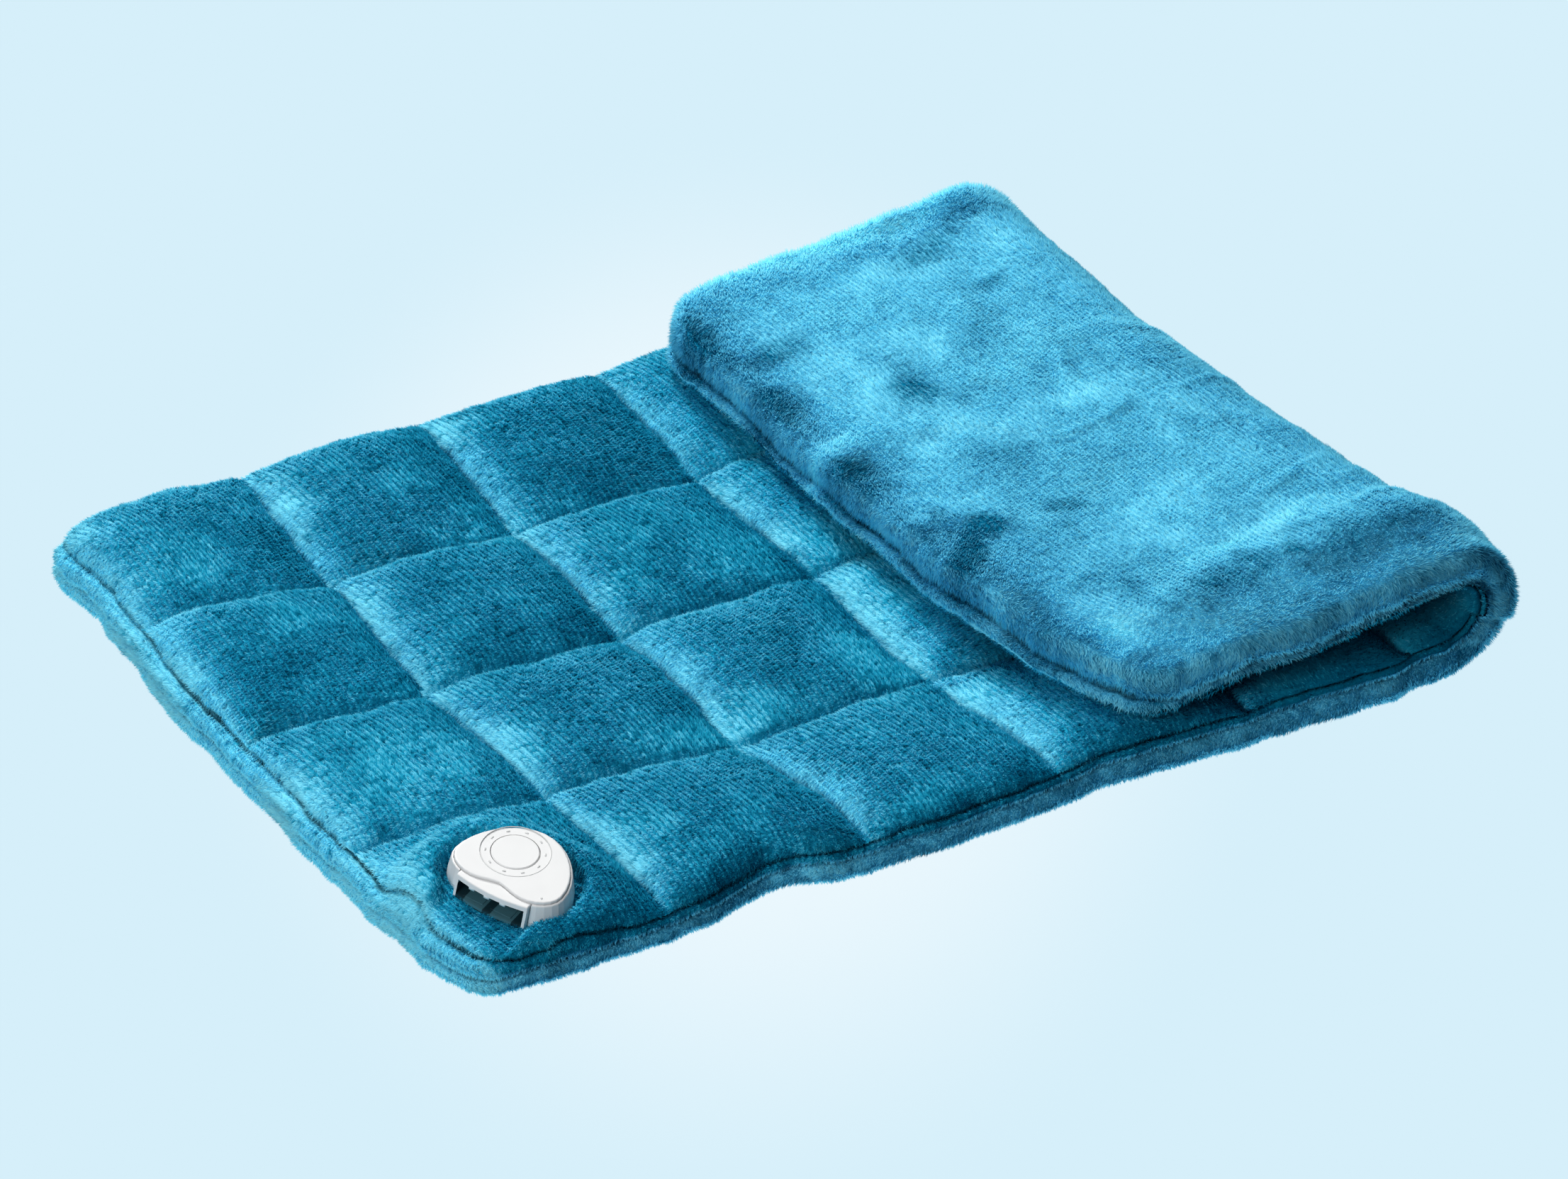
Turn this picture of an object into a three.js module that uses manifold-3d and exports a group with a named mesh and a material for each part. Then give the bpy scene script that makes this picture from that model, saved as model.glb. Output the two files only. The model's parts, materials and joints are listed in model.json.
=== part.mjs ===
// A soft quilted heating pad, folded over at one end, with the moulded socket housing of its controller.
// Lengths are millimetres and angles are degrees. The pad lies on the plane z = 0 with its quilted face
// up, +X runs along it towards the fold and +Y across it. The origin is the middle of the face that lies
// on the table.
import * as THREE from "three";
import { mergeVertices } from "three/addons/utils/BufferGeometryUtils.js";
import Module from "manifold-3d";

const wasm = await Module();
wasm.setup();

// The pad, laid flat
const padWidth = 305;
const openColumns = 4;
const columnSpacing = 75;
const foldedColumns = 4;
const foldedSpacing = 68.5;
const rowCount = 4;
const crownThickness = 20.5;
const seamThickness = 13;
const cornerRadius = 24;
const borderWidth = 26;
const edgeHeight = 8;
const innerInset = 12;
const coverThickness = 2;
const sheetThickness = 1.2;
const clearance = 0.3;

// The fold
const flatLength = 384;
const foldRadius = 26;
const edgeDroop = 1.6;
const droopWidth = 52;
const droopRun = 40;

// The heating wire, its leads, the crimps between them and the cut-outs
const wireDiameter = 2.2;
const leadDiameter = 1.4;
const firstRun = 72;
const wireSideInset = 26;
const wireMiddleInset = 17;
const baseRuns = 9;
const flapRuns = 4;
const lastRunInset = 28;
const wireBend = 8;
const crimpLength = 8;
const crimpDiameter = 2.4;
const leadBend = 3;
const cutoutLength = 11;
const cutoutWidth = 5.5;

// The housing: where it sits, and the outline of its crown plate
const housingX = 35.4;
const housingY = 32.4;
const housingTop = 26.5;
const housingPitch = 11;
const housingRoll = -2.5;
const housingYaw = -63;
const crownHalfWidth = 19.8;
const crownBack = 12.9;
const crownShoulder = 8.8;
const crownFront = 16.85;
const lobeHalfSpacing = 9.7;
const bowDepth = 2.05;
const crownRound = 0.5;

// The housing's shell and floor
const ledgeWidth = 0.9;
const crownStep = 1;
const plateThickness = 1.4;
const roofThickness = 1;
const wallThickness = 1.4;
const skirtDraft = 1;
const ledgeRound = 0.6;
const mouthHeight = 5.4;
const floorThickness = 1.2;
const seatRadius = 30;
const seatFade = 16;

// The socket in its front
const mouthHalfWidth = 12.4;
const mouthWall = 1;
const mouthDepth = 9.5;
const snoutReach = 2;
const lipBulge = 1.6;
const lipLean = 1.5;
const toothWidth = 2.1;
const toothDrop = 1;
const toothSpacing = 5.9;
const toothOffset = -1.1;
const toothThickness = 1.1;
const landSetback = 0.7;
const landHeight = 0.25;
const landWidth = 7.6;
const landGap = 3;
const pinDiameter = 1.2;
const pinSpacing = 5.2;
const pinReach = 2.8;
const pinTail = 1;
const pinCount = 4;

// The button and the shallow dish round it
const discRadius = 7.9;
const discOffset = 3.3;
const discRound = 0.3;
const dishRadius = 11.6;
const dishDepth = 0.25;
const buttonTravel = 1;
const flangeWidth = 0.8;
const flangeThickness = 0.8;
const stemDiameter = 3;
const stemLength = 0.8;

// The circuit board and what stands on it
const boardThickness = 1.2;
const boardLeft = 7.4;
const boardRight = 6.4;
const boardFront = 5.9;
const boardBack = 6.4;
const switchSide = 6;
const switchHeight = 2;
const fuseDiameter = 2.2;
const fuseLength = 6.4;
const terminalWidth = 2.8;
const terminalLength = 7;
const terminalHeight = 2.6;

// Fasteners, clamp plate and grommet
const screwDiameter = 2;
const headDiameter = 4.4;
const headHeight = 1.2;
const bossDiameter = 4.6;
const screwEnd = 1.1;
const clampInset = 1;
const clampThickness = 1.2;
const pocketMargin = 1.2;
const rearBossX = 14.4;
const rearBossY = 0;
const frontBossX = 16;
const frontBossY = -11;
const grommetX = 7;
const grommetY = 1.2;
const grommetDiameter = 5.2;
const grommetBore = 4;
const grommetFlange = 0.8;
const grommetFlangeThickness = 0.7;
const overrun = 2;

// Finishes
const plush = new THREE.MeshStandardMaterial({ color: 0x2f8fb8, roughness: 0.95, metalness: 0 });
const smoothPlush = new THREE.MeshStandardMaterial({ color: 0x5cb8dc, roughness: 0.95, metalness: 0 });
const wadding = new THREE.MeshStandardMaterial({ color: 0xf1efe8, roughness: 1, metalness: 0 });
const carrierCloth = new THREE.MeshStandardMaterial({ color: 0xdcd8ca, roughness: 0.9, metalness: 0 });
const wireSleeve = new THREE.MeshStandardMaterial({ color: 0xe9e2d0, roughness: 0.5, metalness: 0 });
const whitePlastic = new THREE.MeshStandardMaterial({ color: 0xf0f0ee, roughness: 0.42, metalness: 0 });
const darkPlastic = new THREE.MeshStandardMaterial({ color: 0x24282b, roughness: 0.5, metalness: 0 });
const boardGreen = new THREE.MeshStandardMaterial({ color: 0x1f5b3a, roughness: 0.45, metalness: 0.05 });
const brass = new THREE.MeshStandardMaterial({ color: 0xc9a24a, roughness: 0.3, metalness: 1 });
const steel = new THREE.MeshStandardMaterial({ color: 0xb9bcc0, roughness: 0.35, metalness: 1 });

// Values worked out from the sizes above
const padLength = openColumns * columnSpacing + foldedColumns * foldedSpacing;
const foldMidRadius = foldRadius - crownThickness / 2;
const slopeRun = padLength - flatLength - Math.PI * foldMidRadius - borderWidth;
const flapSlope = Math.asin((2 * foldRadius - 2 * crownThickness - 2 * clearance) / slopeRun);
const foldAngle = Math.PI + flapSlope;
const flapStart = flatLength + foldMidRadius * foldAngle;
const rowPitch = padWidth / rowCount;
const sheetLow = coverThickness + clearance;
const sheetTop = sheetLow + sheetThickness;
const wireLevel = sheetTop + clearance + wireDiameter / 2;
const fillLow = wireLevel + wireDiameter / 2 + clearance;
const plateLow = -plateThickness;
const ledgeTop = -crownStep;
const recessFloor = plateLow - clearance;
const roofLow = recessFloor - roofThickness;
const floorTop = roofLow - mouthHeight;
const floorLow = floorTop - floorThickness;
const skirtLow = floorTop + clearance;
const seatLevel = floorLow - clearance;
const clampTop = seatLevel - coverThickness - clearance;
const clampLow = clampTop - clampThickness;
const headLow = clampLow - clearance - headHeight;
const pocketLow = headLow - clearance;
const snoutHalfWidth = mouthHalfWidth + mouthWall;
const snoutCorner = crownFront + snoutReach;
const mouthBack = snoutCorner - mouthDepth;
const boardTop = floorTop + clearance + boardThickness;
const partLow = boardTop + clearance;

// Makes a closed surface into a solid that can be joined and cut.
function toSolid(geometry) {
  const bare = geometry.index ? geometry.toNonIndexed() : geometry.clone();
  bare.deleteAttribute("normal");
  bare.deleteAttribute("uv");
  const merged = mergeVertices(bare, 1e-4);
  return new wasm.Manifold(
    new wasm.Mesh({
      numProp: 3,
      vertProperties: new Float32Array(merged.attributes.position.array),
      triVerts: new Uint32Array(merged.index.array),
    }),
  );
}

// Gives a solid's surface back as a geometry with flat facets.
function toGeometry(solid) {
  const mesh = solid.getMesh();
  const geometry = new THREE.BufferGeometry();
  const places = new Float32Array(mesh.numVert * 3);
  for (let i = 0; i < mesh.numVert; i++) {
    const at = i * mesh.numProp;
    places.set(mesh.vertProperties.subarray(at, at + 3), i * 3);
  }
  geometry.setAttribute("position", new THREE.BufferAttribute(places, 3));
  geometry.setIndex(new THREE.BufferAttribute(new Uint32Array(mesh.triVerts), 1));
  const faceted = geometry.toNonIndexed();
  faceted.computeVertexNormals();
  return faceted;
}

function join(...solids) {
  return solids.reduce((whole, next) => whole.add(next));
}

function cut(solid, ...tools) {
  return tools.reduce((left, tool) => left.subtract(tool), solid);
}

function geometryOf(places, faces) {
  const geometry = new THREE.BufferGeometry();
  geometry.setAttribute("position", new THREE.Float32BufferAttribute(places, 3));
  geometry.setIndex(faces);
  return geometry;
}

// A post of a given height along Z, from its low end.
function post(diameter, low, high, x = 0, y = 0, sides = 24) {
  const geometry = new THREE.CylinderGeometry(diameter / 2, diameter / 2, high - low, sides);
  geometry.rotateX(Math.PI / 2);
  geometry.translate(x, y, (low + high) / 2);
  return toSolid(geometry);
}

function block(left, right, front, back, low, high) {
  const geometry = new THREE.BoxGeometry(right - left, back - front, high - low);
  geometry.translate((left + right) / 2, (front + back) / 2, (low + high) / 2);
  return toSolid(geometry);
}

// A closed loft through outlines with the same number of points, each at its own height.
function loft(rings) {
  const count = rings[0].outline.length;
  const places = rings.flatMap((ring) => ring.outline.flatMap((p) => [p.x, p.y, ring.z]));
  const faces = [];
  for (let k = 0; k + 1 < rings.length; k++) {
    for (let i = 0; i < count; i++) {
      const a = k * count + i;
      const b = k * count + ((i + 1) % count);
      faces.push(a, b, b + count, a, b + count, a + count);
    }
  }
  const top = (rings.length - 1) * count;
  const low = THREE.ShapeUtils.triangulateShape(rings[0].outline, []);
  const high = THREE.ShapeUtils.triangulateShape(rings[rings.length - 1].outline, []);
  low.forEach(([a, b, c]) => faces.push(a, c, b));
  high.forEach(([a, b, c]) => faces.push(top + a, top + b, top + c));
  return geometryOf(places, faces);
}

// A tube with closed ends along a line of points, its section carried along without twist.
function tube(points, diameter, sides) {
  const places = [];
  const faces = [];
  const tangentAt = (i) => {
    const before = points[Math.max(0, i - 1)];
    const after = points[Math.min(points.length - 1, i + 1)];
    return after.clone().sub(before).normalize();
  };
  const first = tangentAt(0);
  const steep = Math.abs(first.z) > Math.SQRT1_2;
  const side = new THREE.Vector3(steep ? 1 : 0, 0, steep ? 0 : 1).cross(first).normalize();
  points.forEach((point, i) => {
    const tangent = tangentAt(i);
    side.addScaledVector(tangent, -side.dot(tangent)).normalize();
    const up = tangent.clone().cross(side);
    for (let k = 0; k < sides; k++) {
      const turn = (k / sides) * 2 * Math.PI;
      const rim = side.clone().multiplyScalar(Math.cos(turn)).addScaledVector(up, Math.sin(turn));
      places.push(...point.clone().addScaledVector(rim, diameter / 2).toArray());
    }
    if (i === 0) return;
    for (let k = 0; k < sides; k++) {
      const a = (i - 1) * sides + k;
      const b = (i - 1) * sides + ((k + 1) % sides);
      faces.push(a, b, b + sides, a, b + sides, a + sides);
    }
  });
  const last = (points.length - 1) * sides;
  for (let k = 1; k + 1 < sides; k++) {
    faces.push(0, k + 1, k, last, last + k, last + k + 1);
  }
  return geometryOf(places, faces);
}

const whole = new THREE.Group();
whole.position.set(-flatLength / 2, -padWidth / 2, 0);
const housing = new THREE.Group();
housing.position.set(housingX, housingY, housingTop);
housing.rotation.set(
  THREE.MathUtils.degToRad(housingPitch),
  THREE.MathUtils.degToRad(housingRoll),
  THREE.MathUtils.degToRad(housingYaw),
);
housing.updateMatrix();
whole.add(housing);

function add(group, name, geometry, material) {
  const mesh = new THREE.Mesh(geometry, material);
  mesh.name = name;
  group.add(mesh);
}

// The same solid where the housing's own frame puts it on the pad.
function onHousing(solid) {
  return toSolid(toGeometry(solid).applyMatrix4(housing.matrix));
}

// Where a point of the flat pad lies once its end is folded over: s runs along the middle of its
// thickness, y across it and n up from the smooth face. The fold is an arc, and the flap beyond it
// slopes down until its quilting rests on the quilting below, with its two sides drooping a little.
function onPad(s, y, n) {
  if (s <= flatLength) return new THREE.Vector3(s, y, n);
  const angle = Math.min((s - flatLength) / foldMidRadius, foldAngle);
  const past = Math.max(0, s - flapStart);
  const side = Math.min(1, Math.min(y, padWidth - y) / droopWidth);
  const droop = edgeDroop * (1 - side) ** 2 * THREE.MathUtils.smoothstep(past, 0, droopRun);
  const radius = foldRadius - n - droop;
  return new THREE.Vector3(
    flatLength + radius * Math.sin(angle) + past * Math.cos(angle),
    y,
    foldRadius - radius * Math.cos(angle) + past * Math.sin(angle),
  );
}

// How full a quilted cell is: 0 on a seam and 1 half way between two seams.
function fullness(share) {
  return (1 - Math.abs(2 * share - 1) ** 2.4) ** 0.6;
}

// The same along a whole side. The first and last cells have a seam on one side only.
function quiltAcross(place, seams) {
  const last = seams.length - 1;
  const cell = Math.max(0, seams.slice(1, last).filter((seam) => seam <= place).length);
  const share = THREE.MathUtils.clamp((place - seams[cell]) / (seams[cell + 1] - seams[cell]), 0, 1);
  if (cell === 0) return fullness((1 + share) / 2);
  if (cell === last - 1) return fullness(share / 2);
  return fullness(share);
}

const columnSeams = [0];
for (let k = 1; k <= openColumns; k++) columnSeams.push(k * columnSpacing);
for (let k = 1; k <= foldedColumns; k++) columnSeams.push(openColumns * columnSpacing + k * foldedSpacing);
const rowSeams = Array.from({ length: rowCount + 1 }, (_, k) => k * rowPitch);

// The distance in from the pad's rounded rim.
function fromRim(s, y) {
  const end = Math.min(s, padLength - s);
  const side = Math.min(y, padWidth - y);
  const inEnd = Math.max(0, cornerRadius - end);
  const inSide = Math.max(0, cornerRadius - side);
  const rim = inEnd > 0 && inSide > 0 ? cornerRadius - Math.hypot(inEnd, inSide) : Math.min(end, side);
  return Math.max(0, rim);
}

// The quarter ellipse that draws a face in to its edge seam.
function drawnIn(distance, width) {
  const share = THREE.MathUtils.clamp(distance / width, 0, 1);
  return Math.sqrt(1 - (1 - share) ** 2);
}

const housingUp = new THREE.Vector3(0, 0, 1).transformDirection(housing.matrix);
const housingMiddle = new THREE.Vector3(0, (crownBack - crownFront) / 2, 0).applyMatrix4(housing.matrix);

// The height of a plane of the housing, given by its level in the housing, above a point of the pad.
function housingPlane(s, y, level) {
  const along = (s - housingX) * housingUp.x + (y - housingY) * housingUp.y;
  return housingTop + (level - along) / housingUp.z;
}

// The quilted face: cells that swell between the seams, drawn in to the edge seam all round, and
// pressed level where the housing is clamped to it.
function quiltedFace(s, y) {
  const fill = quiltAcross(s, columnSeams) * quiltAcross(y, rowSeams);
  const quilt = seamThickness + (crownThickness - seamThickness) * fill;
  const edge = edgeHeight + clearance / 2 + coverThickness;
  const inward = drawnIn(fromRim(s, y), borderWidth);
  const free = edge + (quilt - edge) * inward;
  const off = Math.hypot(s - housingMiddle.x, y - housingMiddle.y);
  const pressed = (1 - THREE.MathUtils.smoothstep(off, seatRadius, seatRadius + seatFade)) * inward ** 2;
  return THREE.MathUtils.lerp(free, housingPlane(s, y, seatLevel), s > flatLength ? 0 : pressed);
}

function quiltedInside(s, y) {
  return quiltedFace(s, y) - coverThickness;
}

// The smooth face lies flat and turns up to the edge seam.
function smoothFace(s, y) {
  const edge = edgeHeight - clearance / 2 - coverThickness;
  return edge * (1 - drawnIn(fromRim(s, y), innerInset));
}

// The least distance between two grid lines of a cover, and of what lies inside it.
const coverApart = 1.6 * coverThickness;
const fillApart = clearance;

const coverShares = { cell: [0.18, 0.5, 0.82, 1], firstCell: [0.06, 0.34, 0.56, 0.8, 1] };
const fillShares = { cell: [0.18, 0.82, 1], firstCell: coverShares.firstCell };

// Grid lines from one end of the pad to the other, close together in the first cell, where the housing
// sits, and near both edges.
function gridLines(seams, length, shares, apart) {
  const lines = [0, innerInset];
  shares.firstCell.forEach((share) => lines.push(share * seams[1]));
  for (let k = 1; k + 1 < seams.length; k++) {
    shares.cell.forEach((share) => lines.push(seams[k] + share * (seams[k + 1] - seams[k])));
  }
  const last = length - innerInset;
  const kept = lines.filter((line) => Math.abs(line - last) > apart);
  kept.push(last, length - shares.firstCell[0] * seams[1]);
  return kept.sort((a, b) => a - b);
}

function linesBetween(lines, from, to, apart) {
  return [from, ...lines.filter((line) => line > from + apart && line < to - apart), to];
}

const yLines = gridLines(rowSeams, padWidth, coverShares, coverApart);
const sLines = gridLines(columnSeams, padLength, coverShares, coverApart);
const yFillLines = gridLines(rowSeams, padWidth, fillShares, fillApart);
const sFillLines = gridLines(columnSeams, padLength, fillShares, fillApart);
const plainLines = (length, pitch) => {
  const near = [coverShares.firstCell[0] * pitch, innerInset];
  const count = Math.round(length / pitch);
  const inner = Array.from({ length: count - 1 }, (_, k) => ((k + 1) * length) / count);
  return [0, ...near, ...inner, length - near[1], length - near[0], length];
};

// The three stretches of the pad: flat on the table, round the fold, and the flap.
const zones = [
  { name: "base", from: 0, to: flatLength - clearance / 2 },
  { name: "fold", from: flatLength + clearance / 2, to: flapStart - clearance / 2 },
  { name: "flap", from: flapStart + clearance / 2, to: padLength },
];
const foldSteps = 9;

// A layer of one stretch between two faces, as a closed grid. The grid's lines near a rounded end lean
// in to follow it.
function layer(from, to, low, high, alongLines, acrossLines) {
  const along = linesBetween(alongLines, from, to, coverApart);
  const across = acrossLines;
  const places = [];
  const faces = [];
  const setBack = (y) => {
    const side = Math.min(y, padWidth - y);
    const inside = cornerRadius - Math.min(side, cornerRadius);
    return cornerRadius - Math.sqrt(cornerRadius ** 2 - inside ** 2);
  };
  for (const face of [low, high]) {
    for (const s of along) {
      for (const y of across) {
        const nearStart = Math.max(0, 1 - s / columnSpacing);
        const nearEnd = Math.max(0, 1 - (padLength - s) / columnSpacing);
        const moved = s + setBack(y) * (nearStart - nearEnd);
        places.push(...onPad(moved, y, face(moved, y)).toArray());
      }
    }
  }
  const wide = across.length;
  const half = along.length * wide;
  const quad = (a, b, c, d) => faces.push(a, b, c, a, c, d);
  for (let i = 0; i + 1 < along.length; i++) {
    for (let j = 0; j + 1 < wide; j++) {
      const a = i * wide + j;
      quad(a, a + 1, a + wide + 1, a + wide);
      quad(half + a, half + a + wide, half + a + wide + 1, half + a + 1);
    }
    const near = i * wide;
    const far = near + wide - 1;
    quad(near, near + wide, near + wide + half, near + half);
    quad(far + half, far + half + wide, far + wide, far);
  }
  for (let j = 0; j + 1 < wide; j++) {
    const end = (along.length - 1) * wide;
    quad(j + half, j + 1 + half, j + 1, j);
    quad(end + j, end + j + 1, end + j + 1 + half, end + j + half);
  }
  return geometryOf(places, faces);
}

// Lines for a stretch: as the pad's, and closer round the fold.
function alongLinesOf(zone, lines) {
  if (zone.name !== "fold") return lines;
  const length = zone.to - zone.from;
  return Array.from({ length: foldSteps - 1 }, (_, k) => zone.from + ((k + 1) * length) / foldSteps);
}

// The outline of the housing, right half then left. It is round at the back, widest at its shoulders,
// and its front is bowed in between two lobes by bow. grow moves it outwards.
const crownHandleShares = { apex: 0.48, shoulder: 0.49, lobe: 0.55, bow: 0.41, dip: 0.23 };
const crownSteps = [9, 6, 5];

function crownOutline(grow, bow) {
  const wide = crownHalfWidth + grow;
  const back = crownBack + grow;
  const front = -crownFront - grow;
  const shoulder = -crownShoulder;
  const share = crownHandleShares;
  const curves = [
    new THREE.CubicBezierCurve(
      new THREE.Vector2(0, back),
      new THREE.Vector2(share.apex * wide, back),
      new THREE.Vector2(wide, shoulder + share.shoulder * (back - shoulder)),
      new THREE.Vector2(wide, shoulder),
    ),
    new THREE.CubicBezierCurve(
      new THREE.Vector2(wide, shoulder),
      new THREE.Vector2(wide, shoulder + share.lobe * (front - shoulder)),
      new THREE.Vector2(lobeHalfSpacing + share.lobe * (wide - lobeHalfSpacing), front),
      new THREE.Vector2(lobeHalfSpacing, front),
    ),
    new THREE.CubicBezierCurve(
      new THREE.Vector2(lobeHalfSpacing, front),
      new THREE.Vector2(lobeHalfSpacing * (1 - share.bow), front),
      new THREE.Vector2(lobeHalfSpacing * share.dip, front + bow),
      new THREE.Vector2(0, front + bow),
    ),
  ];
  const right = curves.flatMap((curve, k) => curve.getPoints(crownSteps[k]).slice(0, -1));
  const left = right.slice(1).reverse().map((p) => new THREE.Vector2(-p.x, p.y));
  return [...right, new THREE.Vector2(0, front + bow), ...left].reverse();
}

// Every second point of an outline, for the room that cloth leaves round a solid.
function looser(outline) {
  return outline.filter((_, k) => k % 2 === 0);
}

// The socket's block at the front of the housing: straight sides and a bowed front edge.
const snoutSteps = 10;

function snoutOutline(grow, forward) {
  const wide = snoutHalfWidth + grow;
  const corner = -snoutCorner - grow - forward;
  const points = [];
  for (let k = 0; k <= snoutSteps; k++) {
    const share = (2 * k) / snoutSteps - 1;
    points.push(new THREE.Vector2(share * wide, corner - lipBulge * (1 - share ** 2)));
  }
  points.push(new THREE.Vector2(wide, -mouthBack), new THREE.Vector2(-wide, -mouthBack));
  return points;
}

function leanAt(level) {
  return lipLean * THREE.MathUtils.clamp((ledgeTop - level) / (ledgeTop - floorTop), 0, 1);
}

// The housing's foot as a solid between two levels: the shell's outline and the socket's block.
function footBlock(low, high, grow) {
  const spread = ledgeWidth + skirtDraft + grow;
  const outline = looser(crownOutline(spread, 0));
  const snout = snoutOutline(grow, lipLean);
  return join(
    toSolid(loft([{ outline, z: low }, { outline, z: high }])),
    toSolid(loft([{ outline: snout, z: low }, { outline: snout, z: high }])),
  );
}

const bossPlaces = [
  [rearBossX, rearBossY],
  [-rearBossX, rearBossY],
  [frontBossX, frontBossY],
  [-frontBossX, frontBossY],
];
const clothHoleSides = 9;
const screwHole = screwDiameter + 2 * clearance;
const grommetHole = grommetDiameter + 2 * clearance;

function screwHoles(low, high, sides = 12) {
  return bossPlaces.map(([x, y]) => post(screwHole, low, high, x, y, sides));
}

function grommetWay(low, high, sides = 24) {
  return post(grommetHole, low, high, grommetX, grommetY, sides);
}

// The quilted cover, its filling, the sheet that carries the heating wire, and the smooth back cover,
// each in its three stretches
function makePadLayers() {
  const screwWays = screwHoles(clampLow, floorLow, clothHoleSides);
  const clampHoles = [...screwWays, grommetWay(clampLow, floorLow, clothHoleSides)].map(onHousing);
  const roomAbove = onHousing(footBlock(seatLevel, overrun, 3 * clearance));
  const roomBelow = onHousing(clampBlock(pocketLow, clampTop + clearance, pocketMargin));
  const pocket = onHousing(clampBlock(pocketLow, overrun, pocketMargin));
  const leadWay = onHousing(grommetWay(clampLow - housingTop, clampLow, clothHoleSides));
  const longLines = plainLines(padLength, columnSpacing);
  const innerLines = linesBetween(yFillLines, innerInset, padWidth - innerInset, fillApart);
  for (const zone of zones) {
    const along = alongLinesOf(zone, sLines);
    const alongFill = alongLinesOf(zone, sFillLines);
    const alongPlain = alongLinesOf(zone, longLines);
    const from = Math.max(zone.from, innerInset);
    const to = Math.min(zone.to, padLength - innerInset);
    const fillTop = (s, y) => quiltedInside(s, y) - 2 * clearance;
    const cover = layer(zone.from, zone.to, quiltedInside, quiltedFace, along, yLines);
    const fill = layer(from, to, () => fillLow, fillTop, alongFill, innerLines);
    const sheet = layer(from, to, () => sheetLow, () => sheetTop, alongPlain, innerLines);
    const inside = (s, y) => smoothFace(s, y) + coverThickness;
    const back = layer(zone.from, zone.to, smoothFace, inside, alongPlain, yFillLines);
    const base = zone.name === "base";
    const seated = base ? toGeometry(cut(toSolid(cover), roomAbove, roomBelow, ...clampHoles)) : cover;
    const hollowed = base ? toGeometry(cut(toSolid(fill), pocket, leadWay)) : fill;
    add(whole, "quilted_cover_" + zone.name, seated, plush);
    add(whole, "filling_" + zone.name, hollowed, wadding);
    add(whole, "element_sheet_" + zone.name, sheet, carrierCloth);
    add(whole, "back_cover_" + zone.name, back, smoothPlush);
  }
}

// A quarter or half turn of the wire in the plane of the pad, as points after its first.
function turn(middleS, middleY, radius, from, to, steps) {
  return Array.from({ length: steps }, (_, k) => {
    const angle = from + ((k + 1) * (to - from)) / steps;
    return [middleS + radius * Math.cos(angle), middleY + radius * Math.sin(angle)];
  });
}

// One wire laid to and fro across half the pad's width: a run at each place in runs, between the outer
// and the middle line, joined by half turns. It starts at the outer line when outward is false.
function toAndFro(runs, outer, middle, outward) {
  const points = [];
  runs.forEach((s, k) => {
    const goingOut = outward === (k % 2 === 0);
    const next = runs[k + 1];
    const radius = next === undefined ? 0 : (next - s) / 2;
    const end = goingOut ? outer : middle;
    const back = goingOut ? radius : -radius;
    points.push([s, (goingOut ? middle : outer) + (k === 0 ? 0 : -back)]);
    if (next === undefined) {
      points.push([s, end]);
      return;
    }
    points.push([s, end + back]);
    const from = Math.PI;
    const to = goingOut ? 2 * Math.PI : 0;
    points.push(...turn(s + radius, end + back, radius, from, to, 4).slice(0, -1));
  });
  return points;
}

function spaced(first, last, count) {
  return Array.from({ length: count }, (_, k) => first + (k * (last - first)) / (count - 1));
}

const wireSides = 6;
const middleLine = padWidth / 2 - wireMiddleInset;
const baseRunPlaces = spaced(firstRun, flatLength - wireBend - wireDiameter, baseRuns);
const flapRunPlaces = spaced(flapStart + wireBend + wireDiameter, padLength - lastRunInset, flapRuns);
const mirrored = (points) => points.map(([s, y]) => [s, padWidth - y]);
const laidOn = (points) => points.map(([s, y]) => onPad(s, y, wireLevel));

// The same line with points added so that none lies further than step from the next.
function closely(points, step) {
  return points.flatMap(([s, y], k) => {
    if (k + 1 === points.length) return [[s, y]];
    const [nextS, nextY] = points[k + 1];
    const parts = Math.ceil(Math.hypot(nextS - s, nextY - y) / step);
    return Array.from({ length: parts }, (_, i) => [
      s + ((nextS - s) * i) / parts,
      y + ((nextY - y) * i) / parts,
    ]);
  });
}

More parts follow.
